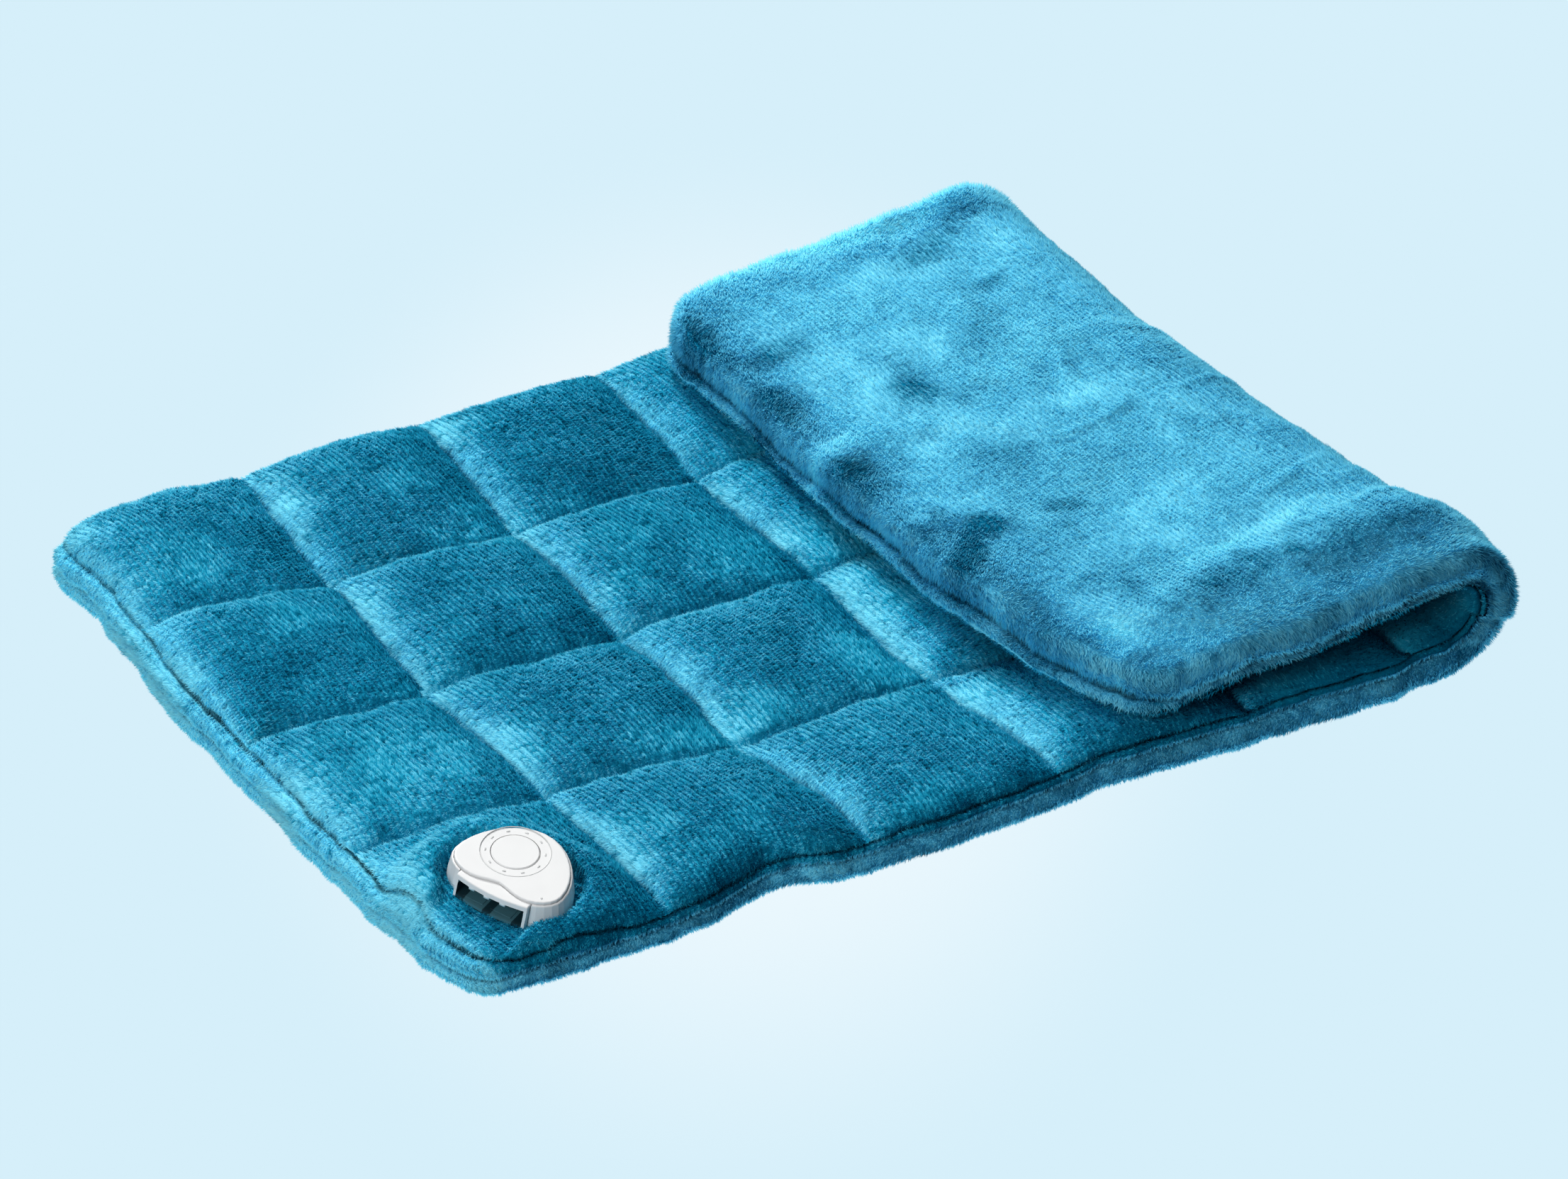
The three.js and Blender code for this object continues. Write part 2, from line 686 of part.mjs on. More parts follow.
// The heating wire: out along the near half and back along the far half, crossing the fold twice
function makeHeatingWire() {
  const near = toAndFro(baseRunPlaces, wireSideInset, middleLine, false);
  const lastRun = baseRunPlaces[baseRuns - 1];
  near[0] = [firstRun, wireSideInset + wireBend];
  const start = turn(firstRun - wireBend, wireSideInset + wireBend, wireBend, -Math.PI / 2, 0, 3);
  near.unshift([firstRun - wireBend, wireSideInset], ...start.slice(0, -1));
  near[near.length - 1] = [lastRun, middleLine - wireBend];
  near.push(...turn(lastRun + wireBend, middleLine - wireBend, wireBend, Math.PI, Math.PI / 2, 3));
  near.push([zones[0].to, middleLine]);
  const round = spaced(zones[1].from, zones[1].to, foldSteps + 1).map((s) => [s, middleLine]);
  const [firstFlapRun] = flapRunPlaces;
  const over = [[zones[2].from, middleLine]];
  over.push([firstFlapRun - wireBend, middleLine]);
  over.push(...turn(firstFlapRun - wireBend, middleLine - wireBend, wireBend, Math.PI / 2, 0, 3));
  over.push(...toAndFro(flapRunPlaces, wireSideInset, middleLine, true).slice(1));
  over.pop();
  const halves = { 1: (points) => points, 2: mirrored };
  for (const [half, side] of Object.entries(halves)) {
    add(whole, "heating_wire_base_" + half, tube(laidOn(side(near)), wireDiameter, wireSides), wireSleeve);
    add(whole, "heating_wire_fold_" + half, tube(laidOn(side(round)), wireDiameter, wireSides), wireSleeve);
  }
  const flap = closely([...over, ...mirrored(over).reverse()], droopWidth / 2);
  add(whole, "heating_wire_flap", tube(laidOn(flap), wireDiameter, wireSides), wireSleeve);
}

// Two flat cut-outs that lie on the sheet between two runs of the wire
function makeCutouts() {
  const between = (baseRunPlaces[1] + baseRunPlaces[2]) / 2;
  const low = sheetTop + clearance;
  const high = low + wireDiameter;
  [padWidth / 2 - rowPitch, padWidth / 2 + rowPitch].forEach((y, k) => {
    const half = cutoutWidth / 2;
    const straight = cutoutLength / 2 - half;
    const capsule = join(
      block(between - half, between + half, y - straight, y + straight, low, high),
      post(cutoutWidth, low, high, between, y - straight, 16),
      post(cutoutWidth, low, high, between, y + straight, 16),
    );
    add(whole, "overheat_cutout_" + (k + 1), toGeometry(capsule), darkPlastic);
  });
}

// The ends of the heating wire turn towards the housing, and a crimp on each joins it to its lead
const crimpEnd = firstRun - wireBend - clearance;
const crimpStart = crimpEnd - crimpLength;

function makeCrimps() {
  [wireSideInset, padWidth - wireSideInset].forEach((y, k) => {
    const ends = [crimpStart, crimpEnd].map((x) => new THREE.Vector3(x, y, wireLevel));
    add(whole, "crimp_" + (k + 1), tube(ends, crimpDiameter, wireSides), steel);
  });
}

// Two leads from the terminal block, down through the grommet and the filling, then along the sheet to
// the crimps. One takes the near crimp and the other crosses the pad to the far one.
function makeLeads() {
  const level = partLow + terminalHeight / 2;
  const start = boardRight - discOffset + clearance;
  const quarter = [1, 2, 3, 4].map((step) => (step / 4) * (Math.PI / 2));
  [1, -1].forEach((side, k) => {
    const y = grommetY + side * (leadDiameter / 2 + clearance);
    const place = (x, z) => new THREE.Vector3(x, y, z).applyMatrix4(housing.matrix);
    const points = [place(start, level), place(grommetX - leadBend, level)];
    for (const angle of quarter) {
      const x = grommetX - leadBend + leadBend * Math.sin(angle);
      points.push(place(x, level - leadBend + leadBend * Math.cos(angle)));
    }
    const foot = place(grommetX, headLow);
    foot.addScaledVector(housingUp, (wireLevel + leadBend - foot.z) / housingUp.z);
    points.push(foot);
    const goal = new THREE.Vector3(crimpStart - clearance, wireSideInset, wireLevel);
    const heading = side > 0 ? goal.clone().sub(foot).setZ(0).normalize() : new THREE.Vector3(0, 1, 0);
    for (const angle of quarter) {
      const out = leadBend * (1 - Math.cos(angle));
      const down = foot.z - leadBend * Math.sin(angle);
      points.push(foot.clone().addScaledVector(heading, out).setZ(down));
    }
    if (side < 0) {
      goal.y = padWidth - wireSideInset;
      const turnMiddle = [foot.x + leadBend, goal.y - leadBend];
      points.push(new THREE.Vector3(foot.x, turnMiddle[1], wireLevel));
      const corner = turn(...turnMiddle, leadBend, Math.PI, Math.PI / 2, 4);
      points.push(...corner.map(([x, across]) => new THREE.Vector3(x, across, wireLevel)));
    }
    points.push(goal);
    add(whole, "lead_wire_" + (k + 1), tube(points, leadDiameter, wireSides), darkPlastic);
  });
}

// The plate inside the pad that clamps the cover to the housing's floor
function clampBlock(low, high, grow) {
  const full = crownOutline(grow - clampInset, 0);
  const outline = grow > 0 ? looser(full) : full;
  return toSolid(loft([{ outline, z: low }, { outline, z: high }]));
}

// Outlines that step over a quarter round edge of a given radius, from its side up to its top.
const roundSteps = 3;

function roundedEdge(radius, top, outlineAt) {
  return Array.from({ length: roundSteps + 1 }, (_, k) => {
    const angle = (k / roundSteps) * (Math.PI / 2);
    return {
      outline: outlineAt(-radius * (1 - Math.cos(angle))),
      z: top - radius * (1 - Math.sin(angle)),
    };
  });
}

function makeCrownPlate() {
  const plate = toSolid(
    loft([
      { outline: crownOutline(0, bowDepth), z: plateLow },
      ...roundedEdge(crownRound, 0, (grow) => crownOutline(grow, bowDepth)),
    ]),
  );
  const dish = post(2 * dishRadius, -dishDepth, overrun, -discOffset, 0, discSides);
  const hole = post(2 * (discRadius + clearance), plateLow - overrun, overrun, -discOffset, 0, discSides);
  add(housing, "crown_plate", toGeometry(cut(plate, dish, hole)), whitePlastic);
}

// The recess that the crown plate drops into
function crownRecess() {
  const outline = crownOutline(clearance, bowDepth);
  return toSolid(loft([{ outline, z: recessFloor }, { outline, z: overrun }]));
}

// The room that the socket frame takes up in the pieces round it
function snoutRoom(low, high) {
  const outline = snoutOutline(clearance, lipLean + overrun);
  const moved = outline.map((p) => (p.y < -mouthBack ? p : new THREE.Vector2(p.x, p.y + clearance)));
  return toSolid(loft([{ outline: moved, z: low }, { outline: moved, z: high }]));
}

// The shell: a drafted skirt with a rounded shoulder and bosses for the clamp's screws inside
function makeUpperShell() {
  const wide = (grow) => crownOutline(ledgeWidth + grow, 0);
  const outer = toSolid(
    loft([
      { outline: wide(skirtDraft), z: skirtLow },
      ...roundedEdge(ledgeRound, ledgeTop, wide),
    ]),
  );
  const inner = toSolid(
    loft([
      { outline: wide(skirtDraft - wallThickness), z: skirtLow },
      { outline: wide(-wallThickness), z: roofLow },
    ]),
  );
  const open = crownOutline(ledgeWidth + skirtDraft - wallThickness, 0);
  const below = toSolid(loft([{ outline: open, z: skirtLow - overrun }, { outline: open, z: skirtLow }]));
  const buttonHole = discRadius + flangeWidth + clearance;
  const hole = post(2 * buttonHole, roofLow - overrun, overrun, -discOffset, 0, discSides);
  const hollow = cut(outer, inner, below, crownRecess(), hole);
  const bosses = bossPlaces.map(([x, y]) => post(bossDiameter, skirtLow, recessFloor - clearance, x, y, 16));
  const pilots = screwHoles(skirtLow - overrun, roofLow - screwEnd + clearance);
  const shell = cut(join(hollow, ...bosses), ...pilots, snoutRoom(floorLow - overrun, overrun));
  add(housing, "upper_shell", toGeometry(shell), whitePlastic);
}

// The flat floor under the shell, on the pad's cover
function makeFloorPlate() {
  const outline = crownOutline(ledgeWidth + skirtDraft, 0);
  const plate = toSolid(loft([{ outline, z: floorLow }, { outline, z: floorTop }]));
  const room = snoutRoom(floorLow - overrun, floorTop + overrun);
  const holes = [...screwHoles(floorLow - overrun, floorTop + overrun)];
  holes.push(grommetWay(floorLow - overrun, floorTop + overrun));
  add(housing, "floor_plate", toGeometry(cut(plate, room, ...holes)), whitePlastic);
}

// The socket frame: a lip that carries three teeth, two side walls, a back wall with the contacts, and a
// floor with two low lands
function makeSocketFrame() {
  const body = toSolid(
    loft([
      { outline: snoutOutline(0, lipLean), z: floorLow },
      ...roundedEdge(crownRound, ledgeTop, (grow) => snoutOutline(grow, 0)),
    ]),
  );
  const far = snoutCorner + lipBulge + lipLean + overrun;
  const innerWall = mouthBack + mouthWall;
  const mouth = block(-mouthHalfWidth, mouthHalfWidth, -far, -innerWall, floorTop, roofLow);
  const pinHoles = pinPlaces().map((x) => {
    return rod(pinDiameter + 2 * clearance, -innerWall - overrun, -mouthBack + overrun, x, pinLevel);
  });
  const teeth = [-1, 0, 1].map((k) => {
    const x = toothOffset + k * toothSpacing;
    const half = toothWidth / 2;
    const front = -snoutCorner;
    return block(x - half, x + half, front, front + toothThickness, roofLow - toothDrop, recessFloor);
  });
  const lands = [-1, 1].map((side) => {
    const middle = toothOffset + (side * (landWidth + landGap)) / 2;
    const half = landWidth / 2;
    const front = -snoutCorner - lipLean + landSetback;
    return block(middle - half, middle + half, front, -innerWall, floorTop - clearance, floorTop + landHeight);
  });
  const frame = join(cut(body, mouth, crownRecess()), ...teeth, ...lands);
  add(housing, "socket_frame", toGeometry(cut(frame, ...pinHoles)), whitePlastic);
}

const pinLevel = (roofLow + floorTop) / 2;

function pinPlaces() {
  return Array.from({ length: pinCount }, (_, k) => (k - (pinCount - 1) / 2) * pinSpacing);
}

// A round bar along Y.
function rod(diameter, front, back, x, z) {
  const geometry = new THREE.CylinderGeometry(diameter / 2, diameter / 2, back - front, 12);
  geometry.translate(x, (front + back) / 2, z);
  return toSolid(geometry);
}

function makeContacts() {
  pinPlaces().forEach((x, k) => {
    const front = -mouthBack - mouthWall - pinReach;
    const pin = rod(pinDiameter, front, -mouthBack + pinTail, x, pinLevel);
    add(housing, "contact_pin_" + (k + 1), toGeometry(pin), brass);
  });
}

// A turned solid from its profile of radius and height, from its low end up.
const discSides = 48;

function turned(profile, x, y, sides) {
  const geometry = new THREE.LatheGeometry(profile.map(([r, z]) => new THREE.Vector2(r, z)), sides);
  geometry.rotateX(Math.PI / 2);
  geometry.translate(x, y, 0);
  return toSolid(geometry);
}

// The button: its cap is held under the crown plate by a flange, and its stem works the switch
const flangeLow = recessFloor - flangeThickness;
const stemLow = flangeLow - stemLength;

function makeButton() {
  const wide = discRadius + flangeWidth;
  const cap = turned(
    [
      [0, flangeLow],
      [wide, flangeLow],
      [wide, recessFloor],
      [discRadius, recessFloor],
      [discRadius, -discRound],
      [discRadius - discRound, 0],
      [0, 0],
    ],
    -discOffset,
    0,
    discSides,
  );
  const stem = post(stemDiameter, stemLow, flangeLow + clearance, -discOffset, 0);
  add(housing, "button_cap", toGeometry(join(cap, stem)), whitePlastic);
  const plungerTop = stemLow - clearance;
  const switchTop = partLow + switchHeight;
  const plungerLow = switchTop - clearance;
  const plunger = post(stemDiameter, plungerLow, plungerTop, -discOffset, 0);
  add(housing, "switch_plunger", toGeometry(plunger), darkPlastic);
  const half = switchSide / 2;
  const body = block(-discOffset - half, -discOffset + half, -half, half, partLow, switchTop);
  const boreLow = plungerLow - buttonTravel - clearance;
  const bore = post(stemDiameter + 2 * clearance, boreLow, switchTop + overrun, -discOffset, 0);
  add(housing, "tact_switch", toGeometry(cut(body, bore)), darkPlastic);
}

// The circuit board under the button, with its thermal fuse and the leads' terminal block
function makeBoard() {
  const left = -discOffset - boardLeft;
  const right = -discOffset + boardRight;
  const low = boardTop - boardThickness;
  const board = block(left, right, -boardFront, boardBack, low, boardTop);
  add(housing, "circuit_board", toGeometry(board), boardGreen);
  const fuse = new THREE.CylinderGeometry(fuseDiameter / 2, fuseDiameter / 2, fuseLength, 12);
  fuse.rotateZ(Math.PI / 2);
  fuse.translate(-discOffset, boardBack - fuseDiameter / 2, partLow + fuseDiameter / 2);
  add(housing, "thermal_fuse", fuse, brass);
  const back = grommetY + terminalLength / 2;
  const terminal = block(right - terminalWidth, right, back - terminalLength, back, partLow, partLow + terminalHeight);
  add(housing, "terminal_block", toGeometry(terminal), darkPlastic);
}

// The clamp plate inside the pad, its four screws, and the grommet that lines the leads' way
function makeClamp() {
  const holes = [...screwHoles(clampLow - overrun, floorLow), grommetWay(clampLow - overrun, floorLow)];
  const plate = cut(clampBlock(clampLow, clampTop, 0), ...holes);
  add(housing, "clamp_plate", toGeometry(plate), whitePlastic);
  bossPlaces.forEach(([x, y], k) => {
    const head = post(headDiameter, headLow, headLow + headHeight, x, y, 16);
    const shank = post(screwDiameter, headLow + headHeight / 2, roofLow - screwEnd, x, y, 12);
    add(housing, "clamp_screw_" + (k + 1), toGeometry(join(head, shank)), steel);
  });
  const flangeFloor = floorTop + clearance;
  const grommet = turned(
    [
      [grommetBore / 2, clampLow],
      [grommetDiameter / 2, clampLow],
      [grommetDiameter / 2, flangeFloor],
      [grommetDiameter / 2 + grommetFlange, flangeFloor],
      [grommetDiameter / 2 + grommetFlange, flangeFloor + grommetFlangeThickness],
      [grommetBore / 2, flangeFloor + grommetFlangeThickness],
      [grommetBore / 2, clampLow],
    ],
    grommetX,
    grommetY,
    24,
  );
  add(housing, "cable_grommet", toGeometry(grommet), darkPlastic);
}

makePadLayers();
makeHeatingWire();
makeCutouts();
makeCrimps();
makeLeads();
makeCrownPlate();
makeUpperShell();
makeFloorPlate();
makeSocketFrame();
makeContacts();
makeButton();
makeBoard();
makeClamp();

export default whole;
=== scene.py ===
"""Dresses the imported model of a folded, quilted heating pad and its socket housing for a studio picture.

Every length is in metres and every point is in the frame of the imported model: +X runs along the pad to
its fold, +Y across it and +Z up, from the middle of the face that lies on the table.
"""
import json
import math

import bpy
import numpy as np
from mathutils import Matrix, Vector


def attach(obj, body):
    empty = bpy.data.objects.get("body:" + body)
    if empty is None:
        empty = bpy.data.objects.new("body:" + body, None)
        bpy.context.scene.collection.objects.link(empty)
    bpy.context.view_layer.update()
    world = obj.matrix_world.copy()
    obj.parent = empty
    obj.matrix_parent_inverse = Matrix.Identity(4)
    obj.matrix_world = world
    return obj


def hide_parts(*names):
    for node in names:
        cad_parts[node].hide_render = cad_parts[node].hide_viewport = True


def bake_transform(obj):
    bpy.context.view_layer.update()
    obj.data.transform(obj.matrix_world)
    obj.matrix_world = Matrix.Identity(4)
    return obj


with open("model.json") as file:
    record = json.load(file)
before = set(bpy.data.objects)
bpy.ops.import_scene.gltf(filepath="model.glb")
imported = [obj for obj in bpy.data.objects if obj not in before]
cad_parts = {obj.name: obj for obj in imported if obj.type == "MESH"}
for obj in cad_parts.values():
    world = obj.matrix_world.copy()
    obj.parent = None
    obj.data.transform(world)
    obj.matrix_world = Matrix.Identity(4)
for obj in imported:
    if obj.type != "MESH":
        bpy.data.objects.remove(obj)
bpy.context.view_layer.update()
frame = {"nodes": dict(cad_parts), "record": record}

bl_info = {
    "name": "Quilted heating pad",
    "version": (1, 0, 0),
    "blender": (4, 5, 0),
    "location": "3D View > Sidebar > Heating Pad",
    "description": "Builds the soft pad, the finishes of its socket housing, and the studio",
    "category": "Object",
}

MM = 0.001


def length(name, description, default, low=0.0, high=1.0):
    """A length property in metres."""
    return bpy.props.FloatProperty(
        name=name, description=description, default=default, min=low, max=high,
        precision=5, unit="LENGTH",
    )


def colour(name, description, default):
    """A linear colour property."""
    return bpy.props.FloatVectorProperty(
        name=name, description=description, default=default, min=0.0, max=1.0, size=3,
        subtype="COLOR",
    )


class PadSizes(bpy.types.PropertyGroup):
    """Sizes of the soft pad, as it would lie if its fold were laid open."""

    width: length("Width", "Across the pad", 0.305)
    flat_length: length("Flat length", "From the left edge to where the fold starts", 0.384)
    open_pitch: length("Open pitch", "Column of the quilting on the open stretch", 0.075)
    folded_pitch: length("Folded pitch", "Column of the quilting on the folded stretch", 0.0685)
    crown: length("Crown", "Thickness in the middle of a quilted cell", 0.0205)
    seam: length("Seam", "Thickness along a quilting seam", 0.0118)
    rim: length("Rim", "Width over which the faces are drawn in to the edge", 0.026)
    fold_radius: length("Fold radius", "Radius of the smooth face round the fold", 0.026)
    edge_seam: length("Edge seam", "Height of the seam between the two covers", 0.0062)
    corner_near: length("Near corner", "Radius of the corner beside the housing", 0.009)
    corner_near_end: length("Near flap corner", "Radius of the flap's near corner", 0.022)
    corner_far: length("Far corners", "Radius of the two far corners", 0.025)
    unevenness: length("Unevenness", "Small lumps of the plush", 0.0005)
    pile_height: length("Pile height", "Length of a tuft of the plush", 0.0017)
    pile_width: length("Pile width", "Width of a tuft of the plush at its root", 0.00055)
    row_pitch: length("Row pitch", "Distance between two knitted rows", 0.0021)
    knot_pitch: length("Knot pitch", "Distance between two knots of a row", 0.0015)


class Looks(bpy.types.PropertyGroup):
    """Colours of the pad, its housing and the studio."""

    # The plush's colours are the stops of a ramp over the pile's tone, so their dark and light ends also
    # stand for painted shade and painted light
    quilted_dark: colour("Quilted, dark", "Quilted plush in its hollows", (0.001, 0.14, 0.25))
    quilted_middle: colour("Quilted, middle", "Quilted plush lying flat", (0.016, 0.355, 0.54))
    quilted_light: colour("Quilted, light", "Quilted plush brushed up", (0.225, 0.77, 0.95))
    smooth_dark: colour("Smooth, dark", "Smooth plush brushed down", (0.003, 0.17, 0.30))
    smooth_middle: colour("Smooth, middle", "Smooth plush lying flat", (0.12, 0.54, 0.75))
    smooth_light: colour("Smooth, light", "Smooth plush brushed up", (0.27, 0.81, 0.95))
    # Painted shade: the colour of the plush deep in a groove
    painted_groove_shade: colour("Crevice", "Plush deep in a groove", (0.0, 0.014, 0.026))
    housing: colour("Housing", "White plastic of the housing", (0.82, 0.81, 0.80))
    # Painted shade: the inside of the white socket, and its raised lands a little lighter
    socket: colour("Socket", "Inside of the socket", (0.008, 0.03, 0.04))
    socket_land: colour("Socket land", "Raised lands on the socket's floor", (0.055, 0.15, 0.18))
    marks: colour("Marks", "Edges of the raised marks on the crown", (0.62, 0.62, 0.61))
    # The backdrop's lighter middle is a painted pool of light round the pad
    backdrop_edge: colour("Backdrop edge", "Backdrop far from the pad", (0.672, 0.863, 0.956))
    backdrop_painted_glow: colour("Backdrop middle", "Backdrop round the pad", (0.84, 0.94, 0.99))


def sizes():
    """The pad's sizes, as the scene holds them."""
    return bpy.context.scene.heating_pad_sizes


def looks():
    """The colours, as the scene holds them."""
    return bpy.context.scene.heating_pad_looks


# Helpers


def smooth(t):
    """3t^2 - 2t^3 between 0 and 1."""
    t = np.clip(t, 0.0, 1.0)
    return t * t * (3.0 - 2.0 * t)


def ease(value, start, end):
    """0 up to start, 1 from end on, and smooth between them. Start may be the higher of the two."""
    return smooth((value - start) / (end - start))


def hump(value, middle, half_width):
    """exp(-((value - middle) / half_width)^2)."""
    return np.exp(-(((value - middle) / half_width) ** 2))


LATTICE_CELLS = 97
LATTICE_TURN = 2.39996
LATTICE_SHIFT = (31.4, 47.2)


def lumps(x, y, size, seed):
    """Smooth random heights from -1 to 1 over x and y.

    Each corner of a lattice of square cells, which its seed turns, holds a random value, and a point
    takes sum(corner * w(u) * w(v)) with w(t) = 6t^5 - 15t^4 + 10t^3.
    """
    count = LATTICE_CELLS
    held = np.random.default_rng(seed).uniform(-1.0, 1.0, (count, count))
    turn = LATTICE_TURN * seed
    u = (x * math.cos(turn) - y * math.sin(turn)) / size + LATTICE_SHIFT[0]
    v = (x * math.sin(turn) + y * math.cos(turn)) / size + LATTICE_SHIFT[1]
    i, j = np.floor(u).astype(int), np.floor(v).astype(int)
    fu, fv = u - i, v - j
    wu, wv = (f * f * f * (f * (f * 6.0 - 15.0) + 10.0) for f in (fu, fv))
    a, b = held[i % count, j % count], held[(i + 1) % count, j % count]
    c, d = held[i % count, (j + 1) % count], held[(i + 1) % count, (j + 1) % count]
    return (a * (1 - wu) + b * wu) * (1 - wv) + (c * (1 - wu) + d * wu) * wv


def layered(x, y, layers, seed):
    """Sum of lumps over x and y. Each layer is a height and a size, and each has the next seed."""
    return sum(height * lumps(x, y, size, seed + k) for k, (height, size) in enumerate(layers))


def new_mesh(name, points, quads, triangles=()):
    """A mesh object from arrays of points, quads and triangles."""
    quads = np.asarray(quads, np.int32).reshape(-1, 4)
    triangles = np.asarray(triangles, np.int32).reshape(-1, 3)
    mesh = bpy.data.meshes.new(name)
    mesh.vertices.add(len(points))
    mesh.vertices.foreach_set("co", np.asarray(points, np.float32).ravel())
    mesh.loops.add(quads.size + triangles.size)
    mesh.loops.foreach_set("vertex_index", np.concatenate([quads.ravel(), triangles.ravel()]))
    starts = np.concatenate(
        [np.arange(len(quads)) * 4, quads.size + np.arange(len(triangles)) * 3]
    ).astype(np.int32)
    mesh.polygons.add(len(starts))
    mesh.polygons.foreach_set("loop_start", starts)
    mesh.update(calc_edges=True)
    mesh.validate()
    mesh.shade_smooth()
    obj = bpy.data.objects.new(name, mesh)
    bpy.context.collection.objects.link(obj)
    return obj


# The housing's place


def housing_axes():
    """The housing's own axes as rows: to the right of its mouth, into its depth, and up.

    The stop in the socket faces out of the mouth, and the button is pressed straight down.
    """
    record = frame["record"]
    stop = next(mount for mount in record["mounts"] if mount["name"] == "plug_stop")
    press = next(joint for joint in record["behaviour"]["joints"] if joint["name"] == "button_press")
    deep, up = -np.array(stop["axis"]), -np.array(press["axis"])
    return np.array([np.cross(deep, up), deep, up])


# The pad's middle and the housing's, from the pad's near left corner, and the height of the crown
PAD_MIDDLE = (192.0 * MM, 152.5 * MM)
HOUSING_PLACE = (35.4 * MM, 32.4 * MM)
HOUSING_TOP = 26.5 * MM
HOUSING_MIDDLE = np.array([HOUSING_PLACE[0] - PAD_MIDDLE[0], HOUSING_PLACE[1] - PAD_MIDDLE[1], HOUSING_TOP])
HOUSING_AXES = housing_axes()


def on_housing(points):
    """Points of the housing's own frame in the frame of the model."""
    return HOUSING_MIDDLE + np.asarray(points, float) @ HOUSING_AXES


def housing_plane(x, y, level):
    """Height of the plane of the housing at that level, over x and y."""
    up = HOUSING_AXES[2]
    along = (x - HOUSING_MIDDLE[0]) * up[0] + (y - HOUSING_MIDDLE[1]) * up[1]
    return HOUSING_MIDDLE[2] + (level - along) / up[2]


# The quilting

OPEN_COLUMNS, FOLDED_COLUMNS, CELL_ROWS = 4, 4, 4
CELL_POWER, CELL_FULLNESS = 2.6, 0.55

# How far the seams run from their straight places, in millimetres. Each has the places of the seams, the
# places along them, and for each seam its drift at those.
COLUMN_DRIFT = ((0, 75, 150, 225, 300), (30, 76, 152, 190, 229, 305), (
    (0, 0, 0, 0, 0, 0),
    (-6, -7, -5, -3, 1, 10),
    (-4, -8, -6, -3, -1, 7),
    (-2, -7, -5, -5, -2, 3),
    (0, 0, 0, 0, 0, 0),
))
ROW_DRIFT = ((0, 76, 152, 229, 305), (37, 112, 187, 262), (
    (0, 0, 0, 0),
    (3, -3, -5, -3),
    (1, -3, -2, -1),
    (5, -4, -3, -2),
    (0, 0, 0, 0),
))

# Layers of lumps, as heights and sizes, and the widths and depths of what the needle leaves
SEAM_WANDER = ((1.4 * MM, 50 * MM), (0.6 * MM, 13 * MM))
QUILT_LUMPS = ((1.2 * MM, 45 * MM), (0.7 * MM, 20 * MM))
QUILT_FOLD_SIZE, QUILT_FOLD_DEPTH = 50 * MM, 1.1 * MM
CELL_SPREAD = 0.08
STITCH_HALF_WIDTH, STITCH_DEPTH, COLUMN_STITCH_SHARE = 1.6 * MM, 1.2 * MM, 0.6
PUCKER_SIZE, PUCKER_REACH, PUCKER_HEIGHT, PUCKER_STRETCH_SHARE = 7.5 * MM, 12 * MM, 0.6 * MM, 0.35

# Soft folds: how much larger the zones are that have any, and their bounds; the stretch along and across
# the pad; and how narrow a fold is, as a height of the lumps that it follows
FOLD_ZONE_SHARE, FOLD_ZONE, FOLD_STRETCH_SHARES, FOLD_NARROWNESS = 2.2, (-0.1, 0.5), (0.8, 1.25), 0.16


def seam_places(z):
    """Places of the column and row seams of the flat pad, its outer edges included."""
    columns = [k * z.open_pitch for k in range(OPEN_COLUMNS + 1)]
    columns += [OPEN_COLUMNS * z.open_pitch + k * z.folded_pitch for k in range(1, FOLDED_COLUMNS + 1)]
    return np.array(columns), np.arange(CELL_ROWS + 1) * z.width / CELL_ROWS


def cell_shares(places, seams):
    """Where each place lies in its cell, from 0 to 1, and the cell's number."""
    cell = np.clip(np.searchsorted(seams, places, side="right") - 1, 0, len(seams) - 2)
    return (places - seams[cell]) / (seams[cell + 1] - seams[cell]), cell


def across_cell(places, seams):
    """How full the quilting is along one direction: 0 on a seam, 1 between two seams.

    (1 - |2t - 1|^power)^fullness, where the first and last cells use t = 1/2 at their outer edge.
    """
    t, cell = cell_shares(places, seams)
    t = np.where(cell == 0, (1 + t) / 2, np.where(cell == len(seams) - 2, t / 2, t))
    return (1 - np.abs(2 * np.clip(t, 0, 1) - 1) ** CELL_POWER) ** CELL_FULLNESS


def seam_distance(places, seams):
    """Distance to the nearest inner seam."""
    return np.min(np.abs(places[..., None] - seams[1:-1]), axis=-1)


def drift(field, across, along):
    """Drift of the seams: by its table along each seam, and in a straight line from seam to seam."""
    seams, places, rows = field
    rows = np.stack([np.interp(along / MM, places, row) for row in rows])
    k = np.clip(np.searchsorted(seams, across / MM) - 1, 0, len(seams) - 2)
    low, high = np.take(seams, k), np.take(seams, k + 1)
    t = np.clip((across / MM - low) / (high - low), 0.0, 1.0)
    at = np.arange(len(k))
    return (rows[k, at] * (1 - t) + rows[k + 1, at] * t) * MM


def quilted_places(s, y):
    """Places by the seams: the seams' drift is taken off, and they wander a little."""
    ws = s - drift(COLUMN_DRIFT, s, y) + layered(s, y, SEAM_WANDER, 1)
    wy = y - drift(ROW_DRIFT, y, s) + layered(s, y, SEAM_WANDER, 3)
    return ws, wy


def soft_folds(s, y, size, seed):
    """Soft folds, 0 to 1: along the lines where slow lumps cross zero, in some places only."""
    here = ease(lumps(s, y, FOLD_ZONE_SHARE * size, seed + 1), *FOLD_ZONE)
    lines = lumps(s * FOLD_STRETCH_SHARES[0], y * FOLD_STRETCH_SHARES[1], size, seed)
    return here * hump(lines, 0.0, FOLD_NARROWNESS)


